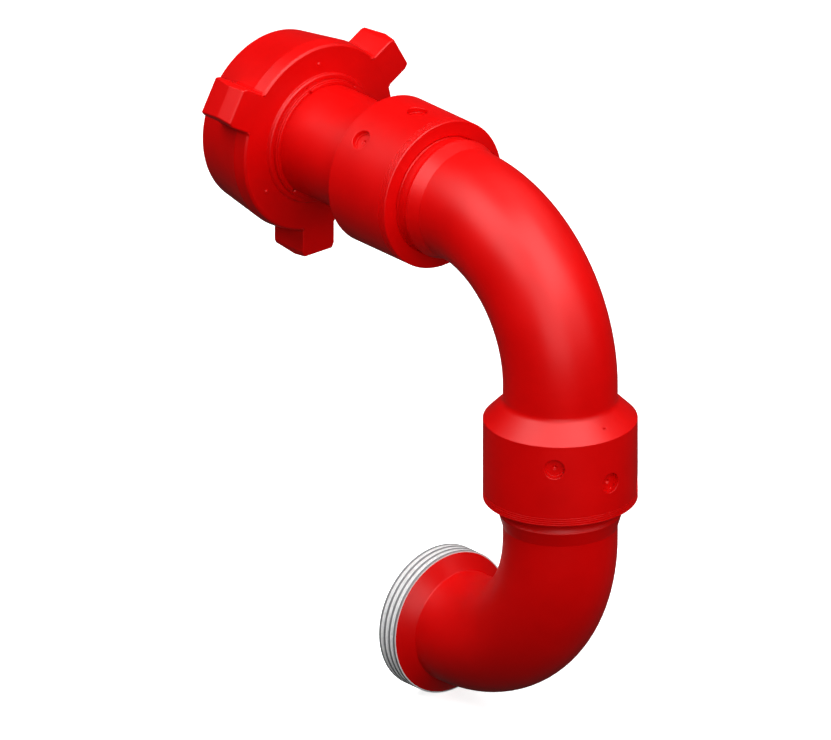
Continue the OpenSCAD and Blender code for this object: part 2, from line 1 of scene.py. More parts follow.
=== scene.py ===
"""Looks of a high-pressure swivel joint: wing-nut union, two ball-race swivels, two elbows.

Every size is in millimetres in the classes and becomes metres in the mesh. The frame is the
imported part's: +X along the inlet run, +Z up, and the origin in the union nose's face.
"""

import json
import logging
import math
from dataclasses import dataclass, field
from enum import Enum

import bmesh
import bpy
import numpy as np
from mathutils import Matrix, Vector


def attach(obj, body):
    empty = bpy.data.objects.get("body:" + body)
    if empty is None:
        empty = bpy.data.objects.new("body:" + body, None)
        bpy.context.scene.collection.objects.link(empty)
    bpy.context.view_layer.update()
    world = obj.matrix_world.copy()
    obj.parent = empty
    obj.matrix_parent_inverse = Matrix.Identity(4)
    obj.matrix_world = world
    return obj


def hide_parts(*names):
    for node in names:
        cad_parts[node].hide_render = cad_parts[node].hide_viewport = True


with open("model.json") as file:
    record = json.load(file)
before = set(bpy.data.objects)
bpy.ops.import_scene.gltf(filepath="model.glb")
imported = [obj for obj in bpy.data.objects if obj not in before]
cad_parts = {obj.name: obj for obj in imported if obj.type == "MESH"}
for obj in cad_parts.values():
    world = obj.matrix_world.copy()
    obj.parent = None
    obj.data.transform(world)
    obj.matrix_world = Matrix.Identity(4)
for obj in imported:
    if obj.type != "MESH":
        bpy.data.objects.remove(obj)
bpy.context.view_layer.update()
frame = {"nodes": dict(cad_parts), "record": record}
LOG = logging.getLogger("swivel_joint")

Array = np.ndarray
Tree = bpy.types.NodeTree
Socket = bpy.types.NodeSocket
Material = bpy.types.Material
Triple = tuple[float, float, float]
Stops = tuple[tuple[float, str], ...]
Settings = dict[str | int, object]
Links = dict[str | int, Socket]

# Metres in a millimetre.
MM = 0.001
# The turning axis of most parts, and of the inlet run.
ALONG_X = (1.0, 0.0, 0.0)
# Tangent of the union threads' flank angle, and the crest's share of the pitch.
THREAD_SLOPE = math.tan(math.radians(14.5))
CREST_SHARE = 0.37
# Corner radii in millimetres, from a knife edge to a forged one.
PLAIN, KEEN, FINE, CRISP, NEAT, CUT = 0.0, 0.1, 0.12, 0.2, 0.25, 0.3
EASED, SOFT, WORN, ROUND, FORGED = 0.4, 0.5, 0.6, 0.8, 0.9
TAPER, RIM, SWEPT = 1.2, 1.6, 2.5
# Where the lows and highs of a noise's value lie.
NOISE_LOW, NOISE_HIGH = 0.35, 0.65
# Points nearer than these are one, in millimetres and in metres.
SAME_MM, SAME_M = 1e-4, 1e-7
# Lengths and areas too small to divide by.
NO_LENGTH, NO_AREA = 1e-9, 1e-20
# A corner's curve takes at most this share of a side, and bends at most this far in radians.
SIDE_SHARE, SHARPEST = 0.45, 3.0


class Slot(Enum):
    """Names of the record's material slots."""

    ENAMEL = "red_enamel"
    BALL = "ball_steel"
    RUBBER = "seal_rubber"
    BRASS = "seal_brass"


class Swivel(Enum):
    """The two swivels, by the first part of their nodes' names."""

    UPPER = "upper"
    LOWER = "lower"


# Finishes


def linear(hex_value: str) -> tuple[float, float, float, float]:
    """Turns an sRGB hex value to linear light by the sRGB curve.

    Args:
        hex_value: Six hex digits with a leading hash.

    Returns:
        Red, green, blue and an alpha of 1.
    """
    parts = [int(hex_value[i : i + 2], 16) / 255 for i in (1, 3, 5)]
    curve = [c / 12.92 if c <= 0.04045 else ((c + 0.055) / 1.055) ** 2.4 for c in parts]
    return (curve[0], curve[1], curve[2], 1.0)


def set_stops(colours: bpy.types.ColorRamp, stops: Stops) -> None:
    """Sets a colour ramp's stops: places from 0 to 1 with their hex colours, in order."""
    while len(colours.elements) < len(stops):
        colours.elements.new(0.5)
    for element, (place, colour) in zip(colours.elements, stops):
        element.position = place
        element.color = linear(colour)


def add_node(
    tree: Tree, kind: str, settings: Settings | None = None, links: Links | None = None
) -> bpy.types.Node:
    """Adds one shader node with its settings and its incoming links.

    Args:
        tree: Tree that the node goes into.
        kind: Blender's name of the node's type.
        settings: Values by name: a colour ramp's stops, a property where the node has it,
            and else an input, which may be given by its number.
        links: Sockets by the name or number of the input that they feed.

    Returns:
        The new node.
    """
    node = tree.nodes.new(kind)
    for name, value in (settings or {}).items():
        if name == "stops":
            set_stops(node.color_ramp, value)
        elif isinstance(name, str) and hasattr(node, name):
            setattr(node, name, value)
        else:
            node.inputs[name].default_value = value
    for name, socket in (links or {}).items():
        tree.links.new(socket, node.inputs[name])
    return node


@dataclass(frozen=True)
class Grain:
    """A noise on the object, its grains size_mm wide. With an axis it varies only along
    that, as the rings of a lathe do."""

    size_mm: float
    detail: float
    axis: Triple | None = None

    def value(self, tree: Tree, place: Socket) -> Socket:
        """Adds the noise.

        Args:
            tree: The material's tree.
            place: The Object coordinates' socket.

        Returns:
            The noise's value.
        """
        settings = {"Scale": 1 / (self.size_mm * MM), "Detail": self.detail}
        links = {"Vector": place}
        if self.axis:
            dot = {"operation": "DOT_PRODUCT", 1: self.axis}
            along = add_node(tree, "ShaderNodeVectorMath", dot, {0: place})
            settings = {"noise_dimensions": "1D", **settings}
            links = {"W": along.outputs["Value"]}
        return add_node(tree, "ShaderNodeTexNoise", settings, links).outputs["Fac"]


@dataclass(frozen=True)
class Finish:
    """What every finish shares. Its colour follows the grain of its tone between stops, and
    its roughness lies patchiness above and below the middle. Its relief, depth_mm deep,
    follows a grain of its own, or the tone's where it has none."""

    name: str
    stops: Stops
    roughness: float
    tone: Grain
    patchiness: float = 0.0
    relief: Grain | None = None
    rough_in_relief: bool = False
    depth_mm: float = 0.0
    strength: float = 0.0
    metallic: float = 0.0
    ior: float = 1.5
    specular: float = 0.5
    glow: float = 0.0

    def overlay(self, tree: Tree, place: Socket) -> tuple[Socket, str] | None:
        """Adds what tells where a second colour lies over the tone.

        Args:
            tree: The material's tree.
            place: The Object coordinates' socket.

        Returns:
            The second colour's share and the colour, or nothing where there is none.
        """
        return None

    def material(self) -> Material:
        """Builds the material: the patterns, one principled shader and the output.

        Returns:
            The material.
        """
        mat = bpy.data.materials.new(self.name)
        mat.use_nodes = True
        tree = mat.node_tree
        tree.nodes.clear()
        place = add_node(tree, "ShaderNodeTexCoord").outputs["Object"]
        grain = self.tone.value(tree, place)
        bumps = self.relief.value(tree, place) if self.relief else grain
        settings, links = {"stops": self.stops}, {"Fac": grain}
        colour = add_node(tree, "ShaderNodeValToRGB", settings, links).outputs["Color"]
        over = self.overlay(tree, place)
        if over:
            settings = {"data_type": "RGBA", 7: linear(over[1])}
            links = {"Factor": over[0], 6: colour}
            colour = add_node(tree, "ShaderNodeMix", settings, links).outputs[2]
        feeds = {"Base Color": colour}
        if self.glow:
            feeds["Emission Color"] = colour
        if self.patchiness:
            low, high = self.roughness - self.patchiness, self.roughness + self.patchiness
            limits = {"From Min": NOISE_LOW, "From Max": NOISE_HIGH, "To Min": low, "To Max": high}
            links = {"Value": bumps if self.rough_in_relief else grain}
            rough = add_node(tree, "ShaderNodeMapRange", limits, links)
            feeds["Roughness"] = rough.outputs["Result"]
        if self.depth_mm:
            settings = {"Strength": self.strength, "Distance": self.depth_mm * MM}
            bump = add_node(tree, "ShaderNodeBump", settings, {"Height": bumps})
            feeds["Normal"] = bump.outputs["Normal"]
        settings = {
            "Roughness": self.roughness,
            "Metallic": self.metallic,
            "IOR": self.ior,
            "Specular IOR Level": self.specular,
            "Emission Strength": self.glow,
        }
        shader = add_node(tree, "ShaderNodeBsdfPrincipled", settings, feeds)
        add_node(tree, "ShaderNodeOutputMaterial", {}, {"Surface": shader.outputs["BSDF"]})
        return mat


@dataclass(frozen=True)
class SprayedEnamel(Finish):
    """Alkyd enamel sprayed on a shot-blasted forging. To the eye: one deep, even red with a
    soft sheen, a faint orange peel, and paler where it wears thin on sharp edges."""

    name: str = "sprayed_enamel_red"
    stops: Stops = ((0.3, "#DA0000"), (0.5, "#E30000"), (0.7, "#EA0101"))
    roughness: float = 0.36
    tone: Grain = Grain(70.0, 3.0)
    patchiness: float = 0.02
    relief: Grain = Grain(2.4, 1.0)
    depth_mm: float = 0.04
    strength: float = 0.1
    specular: float = 0.22
    worn: str = "#F01A16"
    worn_from: float = 0.56
    worn_to: float = 0.66
    worn_most: float = 0.45

    def overlay(self, tree: Tree, place: Socket) -> tuple[Socket, str]:
        """Adds the wear on sharp edges, told by how far they point out.

        Args:
            tree: The material's tree.
            place: The Object coordinates' socket.

        Returns:
            The worn colour's share and the colour.
        """
        limits = {"From Min": self.worn_from, "From Max": self.worn_to, "To Max": self.worn_most}
        links = {"Value": add_node(tree, "ShaderNodeNewGeometry").outputs["Pointiness"]}
        return add_node(tree, "ShaderNodeMapRange", limits, links).outputs["Result"], self.worn


@dataclass(frozen=True)
class TurnedMetal(Finish):
    """Metal cut on a lathe or ground, and left bare. To the eye: bright, with fine rings
    about its axis that catch the light, and a slight uneven tarnish."""

    tone: Grain = Grain(20.0, 4.0)
    patchiness: float = 0.06
    relief: Grain = Grain(0.5, 2.0, ALONG_X)
    rough_in_relief: bool = True
    depth_mm: float = 0.03
    strength: float = 0.2
    metallic: float = 1.0


@dataclass(frozen=True)
class BareThread(Finish):
    """Steel thread, machined and left bare. To the eye: white flanks and darker grey crests, with
    the lathe's rings. The grey is painted shade, which stands in for the shade between the ridges.

    The crests are told from the flanks by the distance from the thread's axis, which runs
    along X at the height axis_z: distance = sqrt(y^2 + (z - axis_z)^2).
    """

    name: str = "bare_steel_thread_painted_shade"
    stops: Stops = ((0.3, "#F2F2F1"), (0.5, "#FFFFFF"))
    roughness: float = 0.5
    tone: Grain = Grain(5.0, 3.0)
    patchiness: float = 0.04
    relief: Grain = Grain(0.5, 1.0, ALONG_X)
    depth_mm: float = 0.02
    strength: float = 0.15
    metallic: float = 0.1
    # Painted shade: the darker grey painted beyond a radius from the axis, in place of the shade
    # between the ridges.
    crest: str = "#8E8F91"
    axis_z: float = -410.3
    painted_shade_from: float = 65.9
    fade_mm: float = 0.3

    def overlay(self, tree: Tree, place: Socket) -> tuple[Socket, str]:
        """Adds the painted shade: a darker grey on the crests, from the radius where it starts.

        Args:
            tree: The material's tree.
            place: The Object coordinates' socket.

        Returns:
            The crests' share and their colour.
        """
        from_axis = {"operation": "SUBTRACT", 1: (0.0, 0.0, self.axis_z * MM)}
        across = {"operation": "MULTIPLY", 1: (0.0, 1.0, 1.0)}
        for step in (from_axis, across):
            place = add_node(tree, "ShaderNodeVectorMath", step, {0: place}).outputs["Vector"]
        radius = add_node(tree, "ShaderNodeVectorMath", {"operation": "LENGTH"}, {0: place})
        start = self.painted_shade_from * MM
        limits = {"From Min": start, "From Max": start + self.fade_mm * MM}
        links = {"Value": radius.outputs["Value"]}
        return add_node(tree, "ShaderNodeMapRange", limits, links).outputs["Result"], self.crest


@dataclass(frozen=True)
class MouldedRubber(Finish):
    """Nitrile rubber from a mould. To the eye: black-grey and matt, with a fine even grain,
    drawn at 0.6 mm, coarser than the real 0.1 mm, so that it shows."""

    name: str = "nitrile_rubber"
    stops: Stops = ((0.35, "#1B1B1D"), (0.7, "#2A2A2C"))
    roughness: float = 0.62
    tone: Grain = Grain(0.6, 3.0)
    depth_mm: float = 0.05
    strength: float = 0.25
    ior: float = 1.52


@dataclass(frozen=True)
class PaleFloor(Finish):
    """Matt painted studio floor. To the eye: white all over with a barely uneven grain, and
    a glow of its own that holds it at the paper white of the photograph."""

    name: str = "pale_floor"
    stops: Stops = ((0.0, "#FBFBFB"), (1.0, "#FFFFFF"))
    roughness: float = 0.9
    tone: Grain = Grain(250.0, 2.0)
    glow: float = 0.8


class Finishes:
    """Every finish of the object, made once and given out by name."""

    def __init__(self) -> None:
        """Builds all the materials."""
        self.enamel = SprayedEnamel().material()
        self.thread = BareThread().material()
        # The nut's inner thread takes the same painted shade, here on its roots, the deepest part
        # of its grooves.
        nut_thread = BareThread("bare_steel_nut_thread_painted_shade", axis_z=0.0, painted_shade_from=66.5)
        self.nut_thread = nut_thread.material()
        steel, brass = ((0.35, "#C4C5C8"), (0.6, "#D6D7D9")), ((0.35, "#C39A4E"), (0.6, "#D9B56A"))
        ground = Grain(2.0, 2.0, ALONG_X)
        self.ball = TurnedMetal("ground_bearing_steel", steel, 0.12, relief=ground).material()
        self.brass = TurnedMetal("turned_brass", brass, 0.28).material()
        self.rubber = MouldedRubber().material()

    def by_slot(self, slot: Slot) -> Material:
        """Returns the material that a record's slot stands for."""
        return {
            Slot.ENAMEL: self.enamel,
            Slot.BALL: self.ball,
            Slot.RUBBER: self.rubber,
            Slot.BRASS: self.brass,
        }[slot]


# Surfaces


@dataclass
class Run:
    """A pipe run's centreline: a straight, a quarter bend towards -u, then a straight.

    A station S is the distance along the line from the bend's start. Before the bend the
    point is start + t*S. In it, with b = S / R, the point is start - R*u + R*(u*cos(b) +
    t*sin(b)). After it the line goes on along -u.
    """

    start: Triple = (0.0, 0.0, 0.0)
    along: Triple = (1.0, 0.0, 0.0)
    up: Triple = (0.0, 0.0, 1.0)
    bend_r: float = 132.0
    bends: bool = False
    bend_steps: int = 30

    @property
    def bend_len(self) -> float:
        """Length of the bend's centreline."""
        return self.bend_r * math.pi / 2 if self.bends else 0.0

    def bend_rows(self, radius: float) -> Array:
        """Rows of a pipe wall in the bend, its two ends included."""
        stations = np.linspace(0, self.bend_len, self.bend_steps + 1)
        return np.column_stack((np.full_like(stations, radius), stations, np.zeros_like(stations)))

    def frames(self, stations: Array) -> tuple[Array, Array, Array]:
        """Works out the centreline's points and directions.

        Args:
            stations: Distances along the line.

        Returns:
            Centres, outward directions u and directions along the line, by station.
        """
        start, t, u = (np.array(x, float) for x in (self.start, self.along, self.up))
        inside = np.clip(stations, 0, self.bend_len)
        angle = (inside / self.bend_r)[:, None]
        turned = np.cos(angle) * u + np.sin(angle) * t
        ahead = np.cos(angle) * t - np.sin(angle) * u
        centres = start + self.bend_r * (turned - u) + (stations - inside)[:, None] * ahead
        return centres, turned, ahead

    def sweep(self, profile: Array, phis: Array) -> Array:
        """Carries a profile round the line: centre + r*(u*cos(phi) + v*sin(phi)), v = +Y.

        Args:
            profile: Rows of radius and station.
            phis: Angles in radians, by column, or by row and column.

        Returns:
            Points as rows by columns by 3.
        """
        centres, u, _ = self.frames(profile[:, 1])
        phi = np.broadcast_to(phis, (len(profile), phis.shape[-1]))[..., None]
        spokes = np.cos(phi) * u[:, None, :] + np.sin(phi) * np.array((0.0, 1.0, 0.0))
        return centres[:, None, :] + profile[:, 0][:, None, None] * spokes


def whole_turn(count: int) -> Array:
    """Angles of count columns, evenly round a whole turn, in radians."""
    return np.linspace(0, 2 * np.pi, count + 1)[:-1]


def soften(points: Array, radii: Array, steps: int = 3, closed: bool = True) -> Array:
    """Rounds corners. Each corner P with reach d becomes the curve (1-t)^2*(P - d*a) +
    2*t*(1-t)*P + t^2*(P + d*b), with a and b the unit directions into and out of it and
    d = radius * tan(turn / 2), at most SIDE_SHARE of the shorter side.

    Args:
        points: Corners as (..., corner, 2).
        radii: Each corner's radius.
        steps: Parts of each curve.
        closed: Whether the last corner joins the first.

    Returns:
        Points as (..., corner * (steps + 1), 2).
    """
    a, b = points - np.roll(points, 1, -2), np.roll(points, -1, -2) - points
    la, lb = np.linalg.norm(a, axis=-1), np.linalg.norm(b, axis=-1)
    a = a / np.maximum(la, NO_LENGTH)[..., None]
    b = b / np.maximum(lb, NO_LENGTH)[..., None]
    turn = np.minimum(np.arccos(np.clip((a * b).sum(-1), -1, 1)), SHARPEST)
    reach = np.minimum(radii * np.tan(turn / 2), SIDE_SHARE * np.minimum(la, lb))
    if not closed:
        reach[..., [0, -1]] = 0
    t = np.linspace(0, 1, steps + 1)[:, None]
    d, p, a, b = reach[..., None, None], points[..., None, :], a[..., None, :], b[..., None, :]
    curve = (1 - t) ** 2 * (p - d * a) + 2 * t * (1 - t) * p + t**2 * (p + d * b)
    return curve.reshape(*points.shape[:-2], -1, 2)


def rounded(corners: Array, steps: int = 3, closed: bool = True) -> Array:
    """Rounds a profile of rows (radius, place, corner radius) and drops repeated points.

    Args:
        corners: Rows of radius, place and corner radius.
        steps: Pieces in each quarter round.
        closed: Whether the last row joins the first.

    Returns:
        Rows of radius and place.
    """
    flat = soften(corners[:, :2], corners[:, 2], steps, closed)
    keep = np.linalg.norm(flat - np.roll(flat, 1, 0), axis=1) > SAME_MM
    keep[0] |= not closed
    return flat[keep]


def rows(*parts: Array | list) -> Array:
    """Stacks pieces of a profile, each of rows (radius, place, corner radius)."""
    return np.vstack([np.array(p, float).reshape(-1, 3) for p in parts])


def arc_rows(centre: tuple[float, float], r: float, a0: float, a1: float, steps: int) -> Array:
    """Rows on a circle's arc: centre + r*(cos(a), sin(a)), from angle a0 to a1 in degrees."""
    a = np.radians(np.linspace(a0, a1, steps + 1))
    return np.column_stack((centre[0] + r * np.cos(a), centre[1] + r * np.sin(a), 0 * a))


def concave_rows(r0: float, r1: float, s0: float, length: float, steps: int = 8) -> Array:
    """Rows of a hollow curve that starts flat at r0 and rises to r1: with the circle's
    radius q = (rise^2 + length^2) / (2*rise), r = r0 + q - sqrt(q^2 - s^2).

    Args:
        r0: Radius where the curve starts.
        r1: Radius where it ends.
        s0: Place where it starts.
        length: Signed length along the axis.
        steps: Parts of the curve.

    Returns:
        Rows of radius, place and corner radius.
    """
    rise = r1 - r0
    q = (rise**2 + length**2) / (2 * rise)
    s = np.linspace(0, length, steps + 1)
    return np.column_stack((r0 + q - np.sqrt(q**2 - s**2), s0 + s, 0 * s))


def with_levels(profile: Array, stations: Array, r_min: float) -> Array:
    """Adds rows to a profile at given stations, on its outside.

    Args:
        profile: Rows of radius and station, closed.
        stations: Where rows are wanted.
        r_min: Only segments whose radii are above this take a row.

    Returns:
        The longer profile.
    """
    a, b = profile, np.roll(profile, -1, 0)
    levels = np.sort(stations)[:, None]
    outside = (np.minimum(a[:, 0], b[:, 0]) > r_min) & ((a[:, 1] < levels) & (levels < b[:, 1]))
    wanted = outside.any(1)
    at, level = outside[wanted].argmax(1), levels[wanted, 0]
    share = ((level - a[at, 1]) / (b[at, 1] - a[at, 1]))[:, None]
    return np.insert(profile, at + 1, a[at] + share * (b[at] - a[at]), axis=0)


class Skin:
    """Gathers grids of points into one mesh of quads, and closes it."""

    def __init__(self) -> None:
        """Starts with no points."""
        self.points: list[Array] = []
        self.faces: list[Array] = []
        self.caps: list[Array] = []
        self.slots: list[Array] = []
        self.count = 0

    def put(self, grid: Array) -> Array:
        """Adds a grid of points.

        Args:
            grid: Points as rows by columns by 3, in millimetres.

        Returns:
            Their numbers, as rows by columns.
        """
        flat = grid.reshape(-1, 3)
        index = np.arange(self.count, self.count + len(flat)).reshape(grid.shape[:-1])
        self.points.append(flat)
        self.count += len(flat)
        return index

    def weave(
        self,
        index: Array,
        closed_cols: bool = True,
        closed_rows: bool = False,
        keep: Array | None = None,
        slots: Array | None = None,
    ) -> None:
        """Adds the quads between neighbouring points of a grid.

        Args:
            index: Point numbers as rows by columns.
            closed_cols: Whether the last column joins the first.
            closed_rows: Whether the last row joins the first.
            keep: For each column of quads, whether it is made.
            slots: For each row of quads, its material's place on the object.
        """
        grid = np.vstack([index, index[:1]]) if closed_rows else index
        grid = np.hstack([grid, grid[:, :1]]) if closed_cols else grid
        quads = np.stack([grid[:-1, :-1], grid[:-1, 1:], grid[1:, 1:], grid[1:, :-1]], -1)
        marks = np.zeros(len(quads), int) if slots is None else slots
        marks = np.repeat(marks[:, None], quads.shape[1], 1)
        chosen = slice(None) if keep is None else keep
        self.faces.append(quads[:, chosen].reshape(-1, 4))
        self.slots.append(marks[:, chosen].reshape(-1))

    def cap(self, ring: Array) -> None:
        """Closes a ring of points with a fan of triangles about its middle."""
        pole = self.put(np.vstack(self.points)[ring].mean(0)[None, None])[0, 0]
        self.caps.append(np.stack([ring, np.roll(ring, -1), np.full_like(ring, pole)], -1))

    def tube(self, index: Array, rings_are_columns: bool = False) -> None:
        """Adds the quads of a tube and closes its two ends.

        Args:
            index: Point numbers as rows by columns.
            rings_are_columns: Whether each column is a ring of the tube, and not each row.
        """
        self.weave(index, not rings_are_columns, rings_are_columns)
        rings = index.T if rings_are_columns else index
        self.cap(rings[0])
        self.cap(rings[-1])

    def build(self, name: str, *materials: Material) -> bpy.types.Object:
        """Makes the object, with faces outwards and normals weighted by area.

        Args:
            name: The piece's name.
            materials: Its materials, in the order of the slots' numbers.

        Returns:
            The new object, at the origin.
        """
        quads = np.vstack(self.faces)
        tris = np.vstack(self.caps) if self.caps else np.zeros((0, 3), int)
        mesh = bpy.data.meshes.new(name)
        mesh.from_pydata(np.vstack(self.points) * MM, [], quads.tolist() + tris.tolist())
        marks = np.concatenate([*self.slots, np.zeros(len(tris), int)])
        mesh.polygons.foreach_set("material_index", marks.astype(np.int32))
        for material in materials:
            mesh.materials.append(material)
        face_outwards(mesh)
        smooth_by_area(mesh)
        obj = bpy.data.objects.new(name, mesh)
        bpy.context.scene.collection.objects.link(obj)
        return obj


def face_outwards(mesh: bpy.types.Mesh) -> None:
    """Merges doubled points, drops loose ones and turns every face of a mesh outwards.

    Args:
        mesh: The mesh to mend.
    """
    bm = bmesh.new()
    bm.from_mesh(mesh)
    bmesh.ops.remove_doubles(bm, verts=bm.verts, dist=SAME_M)
    loose = [vert for vert in bm.verts if not vert.link_faces]
    bmesh.ops.delete(bm, geom=loose, context="VERTS")
    bmesh.ops.recalc_face_normals(bm, faces=bm.faces)
    bm.to_mesh(mesh)
    bm.free()


def smooth_by_area(mesh: bpy.types.Mesh) -> None:
    """Gives each point the normal sum(area * face normal) of its faces, so that a wide
    face stays flat next to a narrow rounded edge.

    Args:
        mesh: The mesh to shade.
    """
    count = len(mesh.polygons)
    areas, normals = np.zeros(count), np.zeros(count * 3)
    totals = np.zeros(count, int)
    mesh.polygons.foreach_get("area", areas)
    mesh.polygons.foreach_get("normal", normals)
    mesh.polygons.foreach_get("loop_total", totals)
    corners = np.zeros(len(mesh.loops), int)
    mesh.loops.foreach_get("vertex_index", corners)
    weighted = np.repeat(normals.reshape(-1, 3) * areas[:, None], totals, 0)
    sums = np.zeros((len(mesh.vertices), 3))
    np.add.at(sums, corners, weighted)
    sums /= np.maximum(np.linalg.norm(sums, axis=1), NO_AREA)[:, None]
    mesh.shade_smooth()
    mesh.normals_split_custom_set_from_vertices(sums)


# Holes in turned shapes


@dataclass(frozen=True)
class Hole:
    """A round hole through a turned outside, centred on one of its seams.

    On a row at station S the hole is a = sqrt(radius^2 - (stretch * (S - station))^2) wide
    to each side of its seam. stretch is the outside's length per station.
    """

    seam: int
    station: float
    radius: float
    r_min: float
    stretch: float = 1.0

    def levels(self, steps: int) -> Array:
        """Stations of the rows that the hole's edge needs, evenly round its circle."""
        turn = np.cos(np.linspace(0, np.pi, steps + 1))
        return self.station + self.radius / self.stretch * turn

    def half_width(self, profile: Array) -> Array:
        """Half of the hole's width on each row of a profile.

        Args:
            profile: Rows of radius and station.

        Returns:
            One half width for each row, 0 where the hole doesn't reach.
        """
        away = self.stretch * (profile[:, 1] - self.station)
        wide = np.sqrt(np.maximum(self.radius**2 - away**2, 0))
        return np.where(profile[:, 0] > self.r_min, wide, 0)

    def span(self, profile: Array) -> tuple[int, int]:
        """First and last row of the hole, where its two sides meet.

        Args:
            profile: Rows of radius and station.

        Returns:
            The two rows' numbers.
        """
        near = self.stretch * np.abs(profile[:, 1] - self.station) < self.radius + SAME_MM
        lanes = np.flatnonzero(near & (profile[:, 0] > self.r_min))
        return lanes.min(), lanes.max()


@dataclass
class Seams:
    """Columns of a turned shape that part at some angles, so that holes can open there.

    To each side of a seam lies a fan of columns. On a row of radius r, with f running
    from 0 at the fan's far side to 1 at the seam, a column lies at the angle
    seam -+ asin((1 - f)*sin(half) + f*a/r), with a the hole's half width on that row.
    """

    angles: tuple[float, ...]
    half: float = math.radians(9.6)
    fan: int = 6
    step: float = 2.0

    @property
    def width(self) -> int:
        """Number of columns in a seam's two fans."""
        return 2 * (self.fan + 1)

    def base(self) -> tuple[Array, Array]:
        """Works out the plain columns.

        Returns:
            Each column's angle, and the number of each seam's first column.
        """
        half = math.degrees(self.half)
        parts, starts, count = [], [], 0
        ahead = (*self.angles[1:], self.angles[0] + 360)
        for angle, following in zip(self.angles, ahead):
            starts.append(count)
            steps = round((following - angle - 2 * half) / self.step)
            gap = np.linspace(angle + half, following - half, steps + 1)[1:-1]
            parts += [np.full(self.width, angle), gap]
            count += self.width + len(gap)
        return np.radians(np.concatenate(parts)), np.array(starts)

    def grid(self, profile: Array, holes: tuple[Hole, ...]) -> Array:
        """Angles of all the points, as rows by columns.

        Args:
            profile: Rows of radius and station.
            holes: The holes that open the seams.

        Returns:
            Angles in radians.
        """
        base, starts = self.base()
        phis = np.repeat(base[None, :], len(profile), 0)
        f = np.linspace(0, 1, self.fan + 1)
        for number, start in enumerate(starts):
            wide = sum(hole.half_width(profile) for hole in holes if hole.seam == number)
            share = (wide / profile[:, 0])[:, None]
            lean = np.arcsin((1 - f) * math.sin(self.half) + f * share)
            middle = start + self.fan + 1
            phis[:, start:middle] -= lean
            phis[:, middle : start + self.width] += lean[:, ::-1]
        return phis

    def keep(self) -> Array:
        """Says for each column of quads whether it is made: a seam's own isn't.

        Returns:
            One truth value for each column.
        """
        base, starts = self.base()
        keep = np.ones(len(base), bool)
        keep[starts + self.fan] = False
        return keep

    def edge(self, index: Array, profile: Array, hole: Hole) -> Array:
        """Point numbers round a hole's edge.

        Args:
            index: Point numbers by row and column.
            profile: Rows of radius and station.
            hole: The hole.

        Returns:
            The point numbers, in order.
        """
        first, last = hole.span(profile)
        left = self.base()[1][hole.seam] + self.fan
        up = index[first : last + 1, left]
        return np.concatenate([up, index[last - 1 : first : -1, left + 1]])


@dataclass(frozen=True)
class Port:
    """A ball port: its frame on the housing, for what sits in it."""

    centre: Array
    out: Array
    side: Array
    ahead: Array

    def place(self, across: Array, along: Array, height: Array) -> Array:
        """Turns places across, along and up from the housing's axis to points."""
        parts = np.broadcast_arrays(across[..., None], along[..., None], height[..., None])
        return self.centre + parts[0] * self.side + parts[1] * self.ahead + parts[2] * self.out


